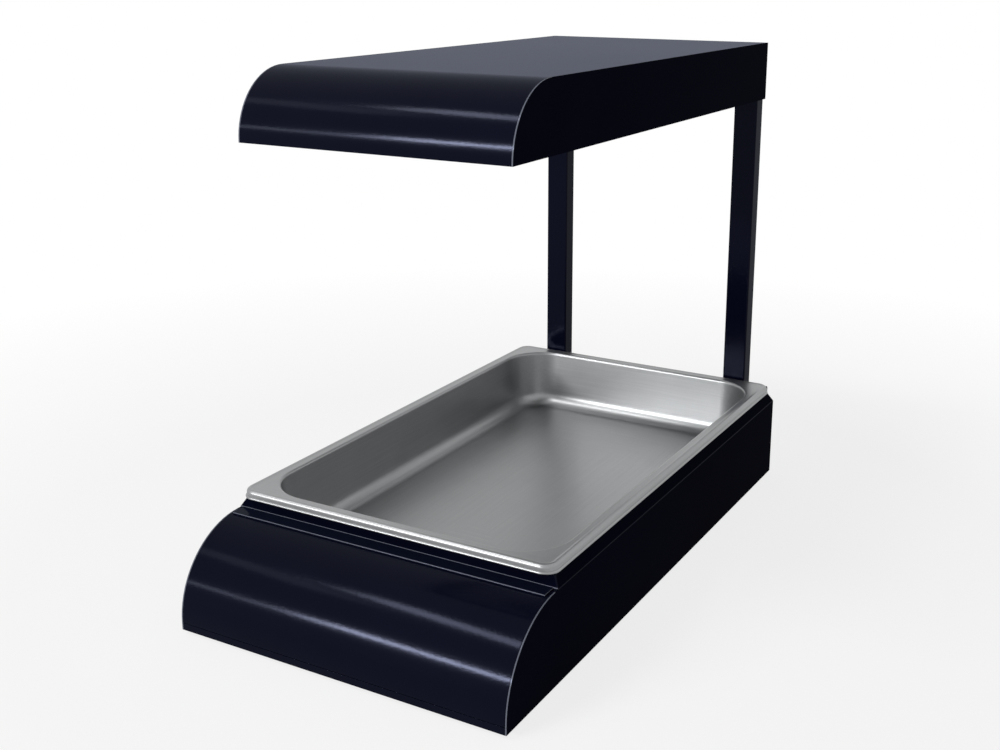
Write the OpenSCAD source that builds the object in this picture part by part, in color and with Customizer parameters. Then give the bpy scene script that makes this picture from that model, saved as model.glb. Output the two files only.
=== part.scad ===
// Countertop chip warmer: a base holds a full-size pan, and a heat hood stands over it on two posts.
// Millimetres, with Z up from the counter. Y runs from the front to the back, X from left to right.
// Outlines are worked out with y = 0 at the front of the base, and in_frame() then centres the whole.

/* [Pan] */
// Width of the pan over its rim
pan_w = 324; // [300:1:340]
// Length of the pan over its rim
pan_l = 527; // [480:1:560]
// Depth of the pan, from the top of its rim to its underside
pan_depth = 65; // [40:1:65]
// Thickness of the pan's steel
pan_t = 0.8; // [0.6:0.1:1.2]
// Height of the rim's turned-down lip
rim_lip = 8.5; // [5:0.5:12]
// Corner radius of the rim, seen from above
rim_r = 14; // [8:1:24]
// Corner radius of the pan's body at its top
pan_r = 46; // [30:1:60]
// How far the pan's side leans in between its top and the start of its bottom curve
pan_taper = 5; // [2:0.5:8]
// Height of the curve between the pan's side and its bottom
pan_curve = 16; // [8:1:20]
// How far that curve runs in under the pan
pan_turn = 15; // [8:1:20]

/* [Base] */
// Thickness of the painted sheet
sheet = 1.2; // [0.8:0.1:1.6]
// Height of the side walls from their bottom edge
wall_h = 85; // [85:1:120]
// Radius of the base's rounded front
nose_r = 78; // [50:1:84]
// Flat top behind the rounded front, up to the foot of the collar
nose_back = 4; // [2:1:60]
// Height of the toe strip under the rounded front
toe_h = 6.5; // [4:0.5:10]
// Height of the collar's sloping part
collar_h = 10.5; // [8:0.5:24]
// How far the side walls stand outside the pan's rim
rim_side = 3; // [1:0.5:12]
// How far the rear wall stands behind the pan's rim
rim_back = 0.6; // [0.6:0.2:8]
// How far the front rim of the pan reaches over the foot of the collar
front_set = 3.6; // [1:0.2:8]
// Space between the collar's upright and the inside of the pan's lip
collar_gap = 1.7; // [1:0.1:4]
// Length of the ledge that laps forward over the rounded front
ledge_l = 14.5; // [6:0.5:20]
// How far the ends of the ledge stop short of the base's sides
ledge_side = 4; // [2:0.5:10]
// Thickness of the well's sheet
liner_t = 0.8; // [0.6:0.1:1]
// Air under the pan, down to the floor of the well
well_air = 16; // [8:1:16]
// Width of the folded flanges under the base
flange_w = 14; // [11:1:18]

/* [Feet] */
// Height of the base's bottom edge over the counter
foot_h = 4; // [3:0.5:12]
// Radius of each rubber foot
foot_r = 11; // [9:0.5:13]
// How far the middle of each foot is inside the base's sides
foot_in = 30; // [29:1:60]
// How far the middle of each foot is inside the base's front and back
foot_end = 42; // [34:1:80]

/* [Posts] */
// Width of each post
post_w = 26; // [24:1:40]
// Depth of each post, front to back
post_d = 19; // [18:1:30]
// Wall thickness of the posts
post_t = 1.6; // [1:0.1:2]
// Radius of the posts' long edges
post_edge = 1.5; // [0.5:0.1:3]
// Space between a post and the hood's side wall
post_side = 0.8; // [0.4:0.1:8]

/* [Hood] */
// Clear height from the pan's rim to the bottom of the hood
clear_h = 318.5; // [220:0.5:420]
// Width of the hood
hood_w = 262; // [250:1:330]
// Length of the hood, front to back
hood_l = 556; // [480:1:600]
// Height of the hood
hood_h = 60.5; // [60.5:0.5:90]
// Radius of the hood's rounded front
hood_r = 60; // [50:1:66]
// How far the ledges inside the hood stand above its bottom edge
ledge_up = 5; // [5:0.5:8]
// Width of the ledges inside the hood
ledge_w = 12; // [12:0.5:15]
// Length of the wiring space at the back of the hood, in front of the posts
wiring_l = 54; // [54:1:80]

/* [Heater] */
// Height of the reflector's trough
refl_h = 38; // [34:0.5:40]
// Width of the reflector's mouth
mouth_w = 200; // [180:1:206]
// Width of the reflector's crown
crown_w = 116; // [96:1:130]
// Thickness of the reflector's sheet
refl_t = 0.8; // [0.5:0.1:1]
// Radius of the heating element's tube
tube_r = 4.1; // [3:0.1:5]
// Distance of each leg of the element from the hood's middle
leg_x = 32; // [24:1:40]
// Depth of the element's axis under the reflector's crown
tube_drop = 20; // [14:0.5:24]
// Radius of the guard's long rods
rod_r = 1.6; // [1.2:0.1:1.8]
// Radius of the guard's cross rods
bar_r = 1.2; // [0.8:0.1:1.4]
// Number of cross rods in the guard
bars = 11; // [6:1:16]

/* [Switch and cord entry] */
// Distance of the switch to the right of the middle, seen from the front
switch_x = 62; // [44:1:80]
// Height of the switch's middle above the hood's bottom edge
switch_up = 32; // [28:0.5:34]
// Width of the switch's barrel
switch_w = 22; // [20:0.5:26]
// Height of the switch's barrel
switch_h = 30; // [28:0.5:34]
// Lean of the rocker on each side of its middle
rock_a = 10; // [6:1:12]
// Radius of the rocker about its pivot
rock_r = 12; // [10:0.5:12]
// Distance of the cord gland to the left of the middle, seen from the front
gland_x = 62; // [20:1:80]
// Radius of the cord gland's bore
gland_bore = 4.2; // [3:0.1:5]
// How far the gland reaches out behind the base
gland_out = 28; // [27:0.5:40]

/* [Hidden] */
$fn = 64;

paint = "#12151f";
steel = "#c4c6c8";
zinc = "#9a9da0";
bright = "#dfe2e4";
ceramic = "#ece8dc";
dark = "#1b1c1e";

// Clearances between pieces
fit_gap = 0.4;
rest_gap = 0.3;
skin_gap = 0.2;
seam = 0.5;
side_gap = 0.15;
open_gap = 1.5;
lip_gap = 0.5;
eps = 0.01;

// Base, from the pan outwards
base_w = pan_w + 2 * rim_side;
base_x = base_w / 2;
in_x = base_x - sheet;
collar_in = rim_side + pan_t + collar_gap;
collar_r = rim_r - pan_t - collar_gap;
collar_front = nose_r + nose_back;
rim_front = collar_front - front_set;
rim_rear = rim_front + pan_l;
base_l = rim_rear + rim_back;
z_wall = foot_h + wall_h;
z_collar = z_wall + collar_h;
z_rim = z_collar + lip_gap + rim_lip;
z_seat = z_rim - pan_t - rest_gap;
z_pan = z_rim - pan_depth;
curve_levels = [for (a = [0:22.5:90]) [pan_curve * (1 - sin(a)), pan_taper + pan_turn * (1 - cos(a))]];
pan_levels = concat([[pan_depth - eps, 0]], curve_levels);
z_well = z_pan - well_air;
z_plate = foot_h + sheet;
lean = atan2(collar_in, collar_h);
slant = sheet / cos(lean);

// The flat of the rim, and the opening that the pan's body hangs in
rim_flat = front_set + collar_in + sheet + fit_gap + liner_t + open_gap;
body_x = pan_w / 2 - rim_flat;
body_front = rim_front + rim_flat;
body_rear = rim_rear - rim_flat;
open_x = body_x + open_gap;
open_front = body_front - open_gap;
open_rear = body_rear + open_gap;
open_r = pan_r + open_gap;
tail_gap = 1;
tail_end = open_front - liner_t - tail_gap;
flange_gap = 2;
wall_flange = rim_back + rim_flat - open_gap - liner_t - sheet - flange_gap;

// Posts and hood
post_front = base_l;
post_rear = post_front + post_d;
hood_x = hood_w / 2;
hood_in = hood_x - sheet;
hood_rear_y = post_rear + rest_gap + sheet;
hood_front_y = hood_rear_y - hood_l;
hood_lip = 8;
hood_return = 12;
fold_w = 10;
hood_z = z_rim + clear_h;
hood_top = hood_z + hood_h;
post_x = hood_in - post_side - post_w / 2;
post_up = 2;
post_down = 3;
post_foot = foot_h + post_up;
post_top = hood_top - 2 * sheet - skin_gap - post_down;
ledge_z = hood_z + ledge_up;
shelf_z = ledge_z + sheet;
floor_z = shelf_z + sheet;

// Reflector and element
apron_gap = 1.5;
apron_front = hood_front_y + hood_return + apron_gap;
refl_rear = post_front - wiring_l;
refl_gap = 0.6;
refl_x = hood_in - refl_gap;
mouth_x = mouth_w / 2;
crown_x = crown_w / 2;
crown_z = shelf_z + refl_h;
crown_rise = crown_z - hood_top + hood_r;
crown_gap = 2;
nose_in = hood_r - 2 * sheet - skin_gap - crown_gap;
refl_front = hood_front_y + hood_r - sqrt(pow(nose_in, 2) - pow(crown_rise, 2));
pad_in = 2;
pad_end = 6;
fold = refl_t * tan(atan2(refl_h - refl_t, mouth_x - crown_x) / 2);
leg_z = crown_z - tube_drop;
bend_in = 22;
leg_out = 24;
leg_front = refl_front + bend_in;
leg_rear = refl_rear + leg_out;
pin_l = 12;
bush_wall = 3;
bush_r = tube_r + bush_wall;
bush_neck = 5;
bush_flange = 3.5;
bush_out = 8;
rod_out = 10;
rod_gap = 0.1;
weld = 0.2;
rod_x = mouth_x + rod_out;
rod_z = shelf_z - rod_r - rod_gap;
bar_z = rod_z - rod_r - bar_r + weld;
guard_in = 12;
pin_r = 1.8;
bracket_t = 1.2;
bracket_fold = 12;
bracket_edge = 3;
bracket_front = 30;
bracket_rear = 120;
guard_front = refl_front + guard_in;
guard_rear = refl_rear - guard_in;
bar_in = 6;
bar_pitch = (guard_rear - guard_front - 2 * bar_in) / (bars - 1);
function bar_y(i) = guard_front + bar_in + i * bar_pitch;

// Fasteners, as radius of the shank and of the head, and height of the head
foot_screw = [2, 4.4, 1.6];
base_screw = [1.9, 3.6, 2];
hood_screw = [1.6, 3.2, 1.8];
guard_screw = [1.5, 5, 1.6];
base_bolt = [3, 5.6, 3.6];
hood_bolt = [2.5, 4.75, 2.6];
hole_gap = 0.2;
pin_gap = 0.06;
foot_x = base_x - foot_in;
recess_up = 2;
recess_gap = 0.8;
foot_draft = 1;
foot_recess = z_plate - recess_up;
foot_ys = [foot_end, base_l - foot_end];
base_screw_x = in_x - flange_w / 2;
screw_front = 60;
screw_rear = 66;
base_screw_ys = [screw_front, base_l / 2, base_l - screw_rear];
rear_screw_x = 100;
rear_screw_y = base_l - sheet - flange_w / 2;
base_bolt_low = 34;
base_bolt_high = 66;
base_bolt_zs = [foot_h + base_bolt_low, foot_h + base_bolt_high];
hood_bolt_low = 27;
hood_bolt_high = 46;
hood_bolt_zs = [hood_z + hood_bolt_low, hood_z + hood_bolt_high];
hood_screw_in = 45;
floor_screw_in = 30;
hood_screw_ys = [refl_front + hood_screw_in, (refl_front + refl_rear) / 2, refl_rear - hood_screw_in,
    refl_rear + floor_screw_in];
foot_nut = 3.2;
base_nut = 4;
hood_nut = 4;
tip = 1;
hood_screw_x = hood_in - ledge_w / 2;
guard_screw_gap = 1;
guard_screw_x = rod_x + rod_r + guard_screw[0] + guard_screw_gap;
guard_screw_ys = [bar_y(1) + bar_pitch / 2, bar_y(bars - 3) + bar_pitch / 2];

// Cord gland in the rear wall
lead_up = 16;
lead_z = foot_h + lead_up;
gland_r = 8;
gland_hex = 12.5;
gland_in = 8;
gland_flange = 7;
gland_neck = 10;
gland_cap = 20;
gland_nut_t = 5;

// Supply lead inside the base, the right post and the hood
lead_r = 2.8;
lead_bend = 8;
lead_run = 2;
lead_back = 2.6;
lead_rise = 8;
lead_front = 10;
lead_y = base_l - sheet - gland_in - seam - lead_bend - lead_run;
lead_up_y = post_rear - post_t - lead_r - lead_back;
lead_top = floor_z + lead_rise;
lead_out_y = post_front - lead_front;
lead_hole = 5;
lead_flange = 6.6;
grommet_lip = 1.4;

// Terminal block on the floor of the wiring space
block_x = 22;
block_in = 26;
block_y = refl_rear + block_in;
block_d = 20;
block_h = 17;
block_step = 10;
block_rib = 1.6;
ways = 3;
way_pitch = (2 * block_x - block_rib) / ways;
plate_in = 5;
plate_half = 4;
plate_t = 0.8;
plate_screw = [2.8, 2.2];

// Rocker switch in the hood's rear wall
switch_z = hood_z + switch_up;
pivot_in = 3;
switch_wall = 3.3;
pivot_y = hood_rear_y - pivot_in;
rocker_x = switch_w / 2 - switch_wall;
rocker_top = 6.2;
rocker_back = 4;
bezel = 2;
bezel_w = 2.5;
barrel_l = 20;
pocket_gap = 5;
tab = [0.8, 9, 6];
tab_x = 5;
tab_z = 7;
trunnion_r = 1.5;
trunnion_l = 1.6;

// The whole reaches from the front of the base to the end of the gland
depth = base_l + gland_out;

// Placing and outline helpers

module in_frame() {
    translate([0, -depth / 2, 0])
        children();
}

// Extrudes an outline of [y, z] points from x0 to x1
module along_x(x0, x1) {
    translate([x0, 0, 0])
        rotate([90, 0, 90])
            linear_extrude(x1 - x0)
                children();
}

// Extrudes an outline of [x, z] points from y0 to y1
module along_y(y0, y1) {
    translate([0, y1, 0])
        rotate([90, 0, 0])
            linear_extrude(y1 - y0)
                children();
}

// Extrudes an outline of [x, y] points from z0 to z1
module along_z(z0, z1) {
    translate([0, 0, z0])
        linear_extrude(z1 - z0)
            children();
}

// Box between its lowest and its highest corner
module slab(low, high) {
    translate(low)
        cube(high - low);
}

// Stands a piece that is turned about Z on the point p, with its axis along +Y
module facing_back(p) {
    translate(p)
        rotate([-90, 0, 0])
            children();
}

module both_sides() {
    children();
    mirror([1, 0, 0])
        children();
}

module on_side(side) {
    if (side < 0)
        mirror([1, 0, 0])
            children();
    else
        children();
}

// Outline in plan of a rectangle with rounded corners
module plan(x0, y0, x1, y1, r) {
    translate([x0 + r, y0])
        square([x1 - x0 - 2 * r, y1 - y0]);
    translate([x0, y0 + r])
        square([x1 - x0, y1 - y0 - 2 * r]);
    for (x = [x0 + r, x1 - r], y = [y0 + r, y1 - r])
        translate([x, y])
            circle(r);
}

// Outline in side view of a body whose upper front edge is rounded, moved in by inset at the front and top
module round_front(y0, z0, y1, z1, r, inset = 0) {
    intersection() {
        translate([y0 + inset, z0])
            square([y1 - y0 - inset, z1 - inset - z0]);
        union() {
            translate([y0 + inset, z0 - r])
                square([y1 - y0 - inset, z1 - z0]);
            translate([y0 + r, z0])
                square([y1 - y0 - r, z1 - inset - z0]);
            translate([y0 + r, z1 - r])
                circle(r - inset);
        }
    }
}

// The skin of that outline, between two insets
module front_skin(y0, z0, y1, z1, r, outer, inner) {
    difference() {
        round_front(y0, z0, y1, z1, r, outer);
        round_front(y0, z0 - 1, y1 + 1, z1, r, inner);
    }
}

// Hole or shank along Y
module bolt_line(x, y0, y1, z, r) {
    facing_back([x, y0, z])
        cylinder(r = r, h = y1 - y0);
}

// Hole or shank along Z
module screw_line(x, y, z0, z1, r) {
    translate([x, y, z0])
        cylinder(r = r, h = z1 - z0);
}

// Food pan

// One level of the pan's body, as a thin slice
module pan_level(z, inset) {
    translate([0, 0, z])
        linear_extrude(eps)
            plan(inset - body_x, body_front + inset, body_x - inset, body_rear - inset, pan_r - inset,
                $fn = 32);
}

// The body's full form, with its wall moved in and up by grow
module pan_form(grow) {
    hull()
        for (level = pan_levels)
            pan_level(z_pan + level[0] + grow, level[1] + grow);
}

module food_pan() {
    color(steel)
        in_frame()
            difference() {
                union() {
                    along_z(z_rim - pan_t, z_rim)
                        plan(-pan_w / 2, rim_front, pan_w / 2, rim_rear, rim_r);
                    along_z(z_rim - rim_lip, z_rim - pan_t)
                        difference() {
                            plan(-pan_w / 2, rim_front, pan_w / 2, rim_rear, rim_r);
                            plan(pan_t - pan_w / 2, rim_front + pan_t, pan_w / 2 - pan_t, rim_rear - pan_t,
                                rim_r - pan_t);
                        }
                    pan_form(0);
                }
                pan_form(pan_t);
            }
}

// Base

module base_front() {
    color(paint)
        in_frame()
            along_x(side_gap - in_x, in_x - side_gap)
                difference() {
                    front_skin(0, foot_h, tail_end, z_wall, nose_r, 0, sheet);
                    translate([-1, foot_h - 1])
                        square([nose_r, toe_h + seam + 1]);
                }
}

module base_side(side) {
    color(paint)
        in_frame()
            on_side(side)
                difference() {
                    union() {
                        along_x(in_x, base_x)
                            round_front(0, foot_h, base_l, z_wall, nose_r);
                        along_x(in_x - wall_flange, in_x)
                            difference() {
                                front_skin(0, foot_h, tail_end, z_wall, nose_r, sheet + skin_gap,
                                    2 * sheet + skin_gap);
                                translate([-1, foot_h - 1])
                                    square([nose_r, toe_h + 2 * sheet + 1]);
                            }
                        slab([in_x - wall_flange, tail_end + seam, z_wall - sheet],
                            [in_x, base_l - sheet - seam, z_wall]);
                        slab([in_x - flange_w, 2 * sheet, foot_h], [in_x, base_l - sheet - seam, z_plate]);
                    }
                    for (y = base_screw_ys)
                        screw_line(base_screw_x, y, foot_h - 1, z_plate + 1, base_screw[0] + hole_gap);
                }
}

module base_side_left() {
    base_side(-1);
}

module base_side_right() {
    base_side(1);
}

module base_rear() {
    top_x = in_x - wall_flange - seam;
    low_x = in_x - flange_w - seam;
    color(paint)
        in_frame()
            difference() {
                union() {
                    slab([side_gap - in_x, base_l - sheet, foot_h], [in_x - side_gap, base_l, z_wall]);
                    slab([-top_x, base_l - sheet - wall_flange, z_wall - sheet],
                        [top_x, base_l - sheet, z_wall]);
                    slab([-low_x, base_l - sheet - flange_w, foot_h], [low_x, base_l - sheet, z_plate]);
                }
                both_sides() {
                    for (z = base_bolt_zs)
                        bolt_line(post_x, base_l - 2 * sheet, base_l + 1, z, base_bolt[0] + hole_gap);
                    screw_line(rear_screw_x, rear_screw_y, foot_h - 1, z_plate + 1,
                        base_screw[0] + hole_gap);
                }
                bolt_line(post_x, base_l - 2 * sheet, base_l + 1, lead_z, lead_hole);
                bolt_line(-gland_x, base_l - 2 * sheet, base_l + 1, lead_z, gland_r + hole_gap);
            }
}

module base_bottom() {
    plate_x = in_x - fit_gap;
    color(paint)
        in_frame()
            difference() {
                union() {
                    slab([-plate_x, 0, z_plate], [plate_x, base_l - sheet - fit_gap, z_plate + sheet]);
                    slab([side_gap - in_x, 0, foot_h], [in_x - side_gap, sheet, foot_h + toe_h]);
                }
                both_sides() {
                    for (y = foot_ys)
                        screw_line(foot_x, y, foot_h, z_plate + sheet + 1, foot_screw[0] + hole_gap);
                    for (y = base_screw_ys)
                        screw_line(base_screw_x, y, foot_h, z_plate + sheet + 1, base_screw[0] + hole_gap);
                    screw_line(rear_screw_x, rear_screw_y, foot_h, z_plate + sheet + 1,
                        base_screw[0] + hole_gap);
                }
            }
}

// Plan of the collar, moved in from its foot, with square or rounded corners
module collar_plan(inset, r = 0) {
    if (r > 0)
        plan(inset - base_x, collar_front + inset, base_x - inset, base_l - inset, r);
    else
        translate([inset - base_x, collar_front + inset])
            square([base_w - 2 * inset, base_l - collar_front - 2 * inset]);
}

// Solid form of the collar's slope between two heights, from one inset to the other
module collar_slope(z0, inset0, z1, inset1) {
    hull() {
        along_z(z0, z0 + eps)
            collar_plan(inset0);
        along_z(z1 - eps, z1)
            collar_plan(inset1);
    }
}

module top_frame() {
    slope = collar_in / collar_h;
    under = z_collar - sheet;
    color(paint)
        in_frame()
            union() {
                difference() {
                    union() {
                        collar_slope(z_wall, 0, z_collar, collar_in);
                        along_z(z_collar, z_seat)
                            collar_plan(collar_in, collar_r);
                    }
                    collar_slope(z_wall - 1, slant - slope, under, slant + slope * (under - z_wall));
                    along_z(under - 1, z_seat - sheet)
                        collar_plan(collar_in + sheet, collar_r - sheet);
                    along_z(z_seat - sheet - 1, z_seat + 1)
                        plan(-open_x, open_front, open_x, open_rear, open_r);
                }
                slab([ledge_side - base_x, collar_front - ledge_l, z_wall],
                    [base_x - ledge_side, collar_front + slant / 2, z_wall + sheet]);
            }
}

module well_liner() {
    flange_in = collar_in + sheet + fit_gap / 2;
    color(zinc)
        in_frame()
            difference() {
                union() {
                    along_z(z_well - liner_t, z_seat - sheet)
                        plan(-open_x - liner_t, open_front - liner_t, open_x + liner_t, open_rear + liner_t,
                            open_r + liner_t);
                    along_z(z_seat - sheet - liner_t, z_seat - sheet)
                        collar_plan(flange_in, collar_r - sheet - fit_gap / 2);
                }
                along_z(z_well, z_seat)
                    plan(-open_x, open_front, open_x, open_rear, open_r);
            }
}

module base_screws() {
    color(zinc)
        in_frame()
            both_sides() {
                for (y = base_screw_ys)
                    base_screw_at(base_screw_x, y);
                base_screw_at(rear_screw_x, rear_screw_y);
            }
}

module base_screw_at(x, y) {
    screw_line(x, y, foot_h - base_screw[2], foot_h, base_screw[1]);
    screw_line(x, y, foot_h, z_plate + sheet + 2 * tip, base_screw[0]);
}

// Feet

module feet() {
    color(dark)
        in_frame()
            both_sides()
                for (y = foot_ys)
                    translate([foot_x, y, 0])
                        difference() {
                            cylinder(r1 = foot_r - foot_draft, r2 = foot_r, h = z_plate);
                            translate([0, 0, -1])
                                cylinder(r = foot_screw[1] + recess_gap, h = foot_recess + 1);
                            cylinder(r = foot_screw[0] + hole_gap, h = z_plate + 1);
                        }
}

module foot_screws() {
    color(zinc)
        in_frame()
            both_sides()
                for (y = foot_ys) {
                    screw_line(foot_x, y, foot_recess - foot_screw[2], foot_recess, foot_screw[1]);
                    screw_line(foot_x, y, foot_recess, z_plate + sheet + foot_nut + tip, foot_screw[0]);
                    screw_line(foot_x, y, z_plate + sheet, z_plate + sheet + foot_nut, 2 * foot_screw[0],
                        $fn = 6);
                }
}

// Posts

module post(side) {
    color(paint)
        in_frame()
            on_side(side)
                difference() {
                    along_z(post_foot, post_top)
                        difference() {
                            plan(post_x - post_w / 2, post_front, post_x + post_w / 2, post_rear, post_edge);
                            translate([post_x - post_w / 2 + post_t, post_front + post_t])
                                square([post_w - 2 * post_t, post_d - 2 * post_t]);
                        }
                    for (z = base_bolt_zs)
                        bolt_line(post_x, post_front - 1, post_front + 2 * post_t, z,
                            base_bolt[0] + hole_gap);
                    for (z = hood_bolt_zs)
                        bolt_line(post_x, post_rear - 2 * post_t, post_rear + 1, z, hood_bolt[0] + hole_gap);
                    if (side > 0)
                        for (z = [lead_z, lead_top])
                            bolt_line(post_x, post_front - 1, post_front + 2 * post_t, z, lead_hole);
                }
}

module post_left() {
    post(-1);
}

module post_right() {
    post(1);
}

module post_base_bolts() {
    head_y = base_l - sheet;
    nut_y = post_front + post_t;
    color(zinc)
        in_frame()
            both_sides()
                for (z = base_bolt_zs) {
                    bolt_line(post_x, head_y - base_bolt[2], head_y, z, base_bolt[1], $fn = 6);
                    bolt_line(post_x, head_y, nut_y + base_nut + tip, z, base_bolt[0]);
                    bolt_line(post_x, nut_y, nut_y + base_nut, z, base_bolt[1], $fn = 6);
                }
}

module post_hood_bolts() {
    nut_y = post_rear - post_t;
    color(zinc)
        in_frame()
            both_sides()
                for (z = hood_bolt_zs) {
                    bolt_line(post_x, hood_rear_y, hood_rear_y + hood_bolt[2], z, hood_bolt[1]);
                    bolt_line(post_x, nut_y - hood_nut - tip, hood_rear_y, z, hood_bolt[0]);
                    bolt_line(post_x, nut_y - hood_nut, nut_y, z, hood_bolt[1], $fn = 6);
                }
}

// Hood

module hood_cover() {
    cover_x = hood_in - side_gap;
    color(paint)
        in_frame()
            union() {
                along_x(-cover_x, cover_x)
                    front_skin(hood_front_y, hood_z, hood_rear_y, hood_top, hood_r, 0, sheet);
                slab([-cover_x, hood_front_y + sheet / 2, hood_z],
                    [cover_x, hood_front_y + hood_return, hood_z + sheet]);
            }
}

module hood_side(side) {
    color(paint)
        in_frame()
            on_side(side)
                difference() {
                    union() {
                        along_x(hood_in, hood_x)
                            round_front(hood_front_y, hood_z, hood_rear_y, hood_top, hood_r);
                        along_x(hood_in - hood_lip, hood_in)
                            difference() {
                                front_skin(hood_front_y, hood_z, hood_rear_y - sheet - seam, hood_top,
                                    hood_r, sheet + skin_gap, 2 * sheet + skin_gap);
                                translate([hood_front_y - 1, hood_z - 1])
                                    square([hood_r, sheet + seam + 1]);
                            }
                        slab([hood_in - ledge_w, apron_front, ledge_z],
                            [hood_in, post_front - tail_gap, shelf_z]);
                    }
                    for (y = hood_screw_ys)
                        screw_line(hood_screw_x, y, ledge_z - 1, shelf_z + 1, hood_screw[0] + hole_gap);
                }
}

module hood_side_left() {
    hood_side(-1);
}

module hood_side_right() {
    hood_side(1);
}

module hood_rear() {
    wall_y = hood_rear_y - sheet;
    wall_top = hood_top - sheet - skin_gap;
    top_x = hood_in - hood_lip - seam;
    low_x = post_x - post_w / 2 - flange_gap;
    color(paint)
        in_frame()
            difference() {
                union() {
                    slab([side_gap - hood_in, wall_y, hood_z], [hood_in - side_gap, hood_rear_y, wall_top]);
                    slab([-top_x, wall_y - fold_w, wall_top - sheet], [top_x, wall_y, wall_top]);
                    slab([-low_x, wall_y - fold_w, ledge_z], [low_x, wall_y, shelf_z]);
                }
                both_sides()
                    for (z = hood_bolt_zs)
                        bolt_line(post_x, wall_y - 1, hood_rear_y + 1, z, hood_bolt[0] + hole_gap);
                slab([switch_x - switch_w / 2, wall_y - 1, switch_z - switch_h / 2],
                    [switch_x + switch_w / 2, hood_rear_y + 1, switch_z + switch_h / 2]);
            }
}

module hood_floor() {
    plate_x = hood_in - fit_gap;
    notch_x = post_x - post_w / 2 - fit_gap;
    rear = hood_rear_y - sheet - fit_gap;
    color(paint)
        in_frame()
            difference() {
                slab([-plate_x, refl_rear + tail_gap, shelf_z], [plate_x, rear, floor_z]);
                both_sides() {
                    slab([notch_x, post_front - fit_gap, shelf_z - 1], [hood_x, rear + 1, floor_z + 1]);
                    screw_line(hood_screw_x, hood_screw_ys[3], shelf_z - 1, floor_z + 1,
                        hood_screw[0] + hole_gap);
                }
            }
}

module hood_screws() {
    color(zinc)
        in_frame()
            both_sides()
                for (y = hood_screw_ys) {
                    screw_line(hood_screw_x, y, ledge_z - hood_screw[2], ledge_z, hood_screw[1]);
                    screw_line(hood_screw_x, y, ledge_z, floor_z + 2 * tip, hood_screw[0]);
                }
}

// Heater

module reflector() {
    mouth = [mouth_x, shelf_z];
    crown = [crown_x, crown_z - refl_t];
    half = [[crown_x + fold, crown_z], [mouth_x + fold, shelf_z + refl_t], [refl_x, shelf_z + refl_t],
        [refl_x, shelf_z], mouth, crown];
    other = [for (i = [len(half) - 1:-1:0]) [-half[i][0], half[i][1]]];
    color(bright)
        in_frame()
            difference() {
                union() {
                    along_y(refl_front, refl_rear)
                        polygon(concat(half, other));
                    slab([-refl_x, apron_front, shelf_z], [refl_x, refl_front + refl_t, shelf_z + refl_t]);
                    for (y = [refl_front, refl_rear - refl_t])
                        along_y(y, y + refl_t)
                            polygon([mouth, crown, [-crown[0], crown[1]], [-mouth[0], mouth[1]]]);
                }
                both_sides() {
                    bolt_line(leg_x, refl_rear - 2, refl_rear + 1, leg_z, bush_r + hole_gap);
                    for (y = guard_screw_ys)
                        screw_line(guard_screw_x, y, shelf_z - 1, shelf_z + 2, guard_screw[0] + hole_gap);
                    for (i = [0:2])
                        screw_line(hood_screw_x, hood_screw_ys[i], shelf_z - 1, shelf_z + 2,
                            hood_screw[0] + hole_gap);
                }
            }
}

module reflector_insulation() {
    color("#d9cfa8")
        in_frame()
            slab([pad_in - crown_x, hood_front_y + hood_r, crown_z],
                [crown_x - pad_in, refl_rear - pad_end, hood_top - sheet - pad_in]);
}

module heating_element() {
    color("#8a8378")
        in_frame()
            union() {
                both_sides() {
                    bolt_line(leg_x, leg_front + leg_x, leg_rear, leg_z, tube_r);
                    bolt_line(leg_x, leg_rear, leg_rear + pin_l, leg_z, pin_r);
                }
                translate([0, leg_front + leg_x, leg_z])
                    rotate(180)
                        rotate_extrude(angle = 180)
                            translate([leg_x, 0])
                                circle(tube_r);
            }
}

module element_bushings() {
    color(ceramic)
        in_frame()
            both_sides()
                difference() {
                    union() {
                        bolt_line(leg_x, refl_rear - bush_neck, refl_rear + bush_out, leg_z, bush_r);
                        bolt_line(leg_x, refl_rear, refl_rear + bush_flange, leg_z, bush_r + bush_wall);
                    }
                    bolt_line(leg_x, refl_rear - bush_neck - 1, refl_rear + bush_out + 1, leg_z,
                        tube_r + rest_gap);
                }
}

// Hanger that holds both legs of the element under the reflector's crown
module element_bracket(y) {
    half_w = leg_x + tube_r + bracket_edge;
    top = crown_z - refl_t;
    color(zinc)
        in_frame()
            difference() {
                union() {
                    slab([-half_w, y, leg_z - tube_r - bracket_edge], [half_w, y + bracket_t, top]);
                    slab([-half_w, y, top - bracket_t], [half_w, y + bracket_fold, top]);
                }
                both_sides()
                    bolt_line(leg_x, y - 1, y + bracket_t + 1, leg_z, tube_r + rest_gap);
            }
}

module element_bracket_front() {
    element_bracket(leg_front + leg_x + bracket_front);
}

module element_bracket_rear() {
    element_bracket(refl_rear - bracket_rear);
}

module wire_guard() {
    half_w = rod_x + rod_r;
    color(bright)
        in_frame()
            union() {
                both_sides()
                    bolt_line(rod_x, guard_front, guard_rear, rod_z, rod_r);
                for (i = [0:bars - 1])
                    translate([-half_w, bar_y(i), bar_z])
                        rotate([0, 90, 0])
                            cylinder(r = bar_r, h = 2 * half_w);
            }
}

module guard_screws() {
    top = rod_z - rod_r;
    color(zinc)
        in_frame()
            both_sides()
                for (y = guard_screw_ys) {
                    screw_line(guard_screw_x, y, top - guard_screw[2], top, guard_screw[1]);
                    screw_line(guard_screw_x, y, top, shelf_z + refl_t + 2 * tip, guard_screw[0]);
                }
}

// Wiring

module terminal_block() {
    color(ceramic)
        in_frame()
            union() {
                slab([-block_x, block_y, floor_z], [block_x, block_y + block_d, floor_z + block_step]);
                for (i = [0:ways])
                    slab([i * way_pitch - block_x, block_y, floor_z],
                        [i * way_pitch - block_x + block_rib, block_y + block_d, floor_z + block_h]);
            }
}

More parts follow.
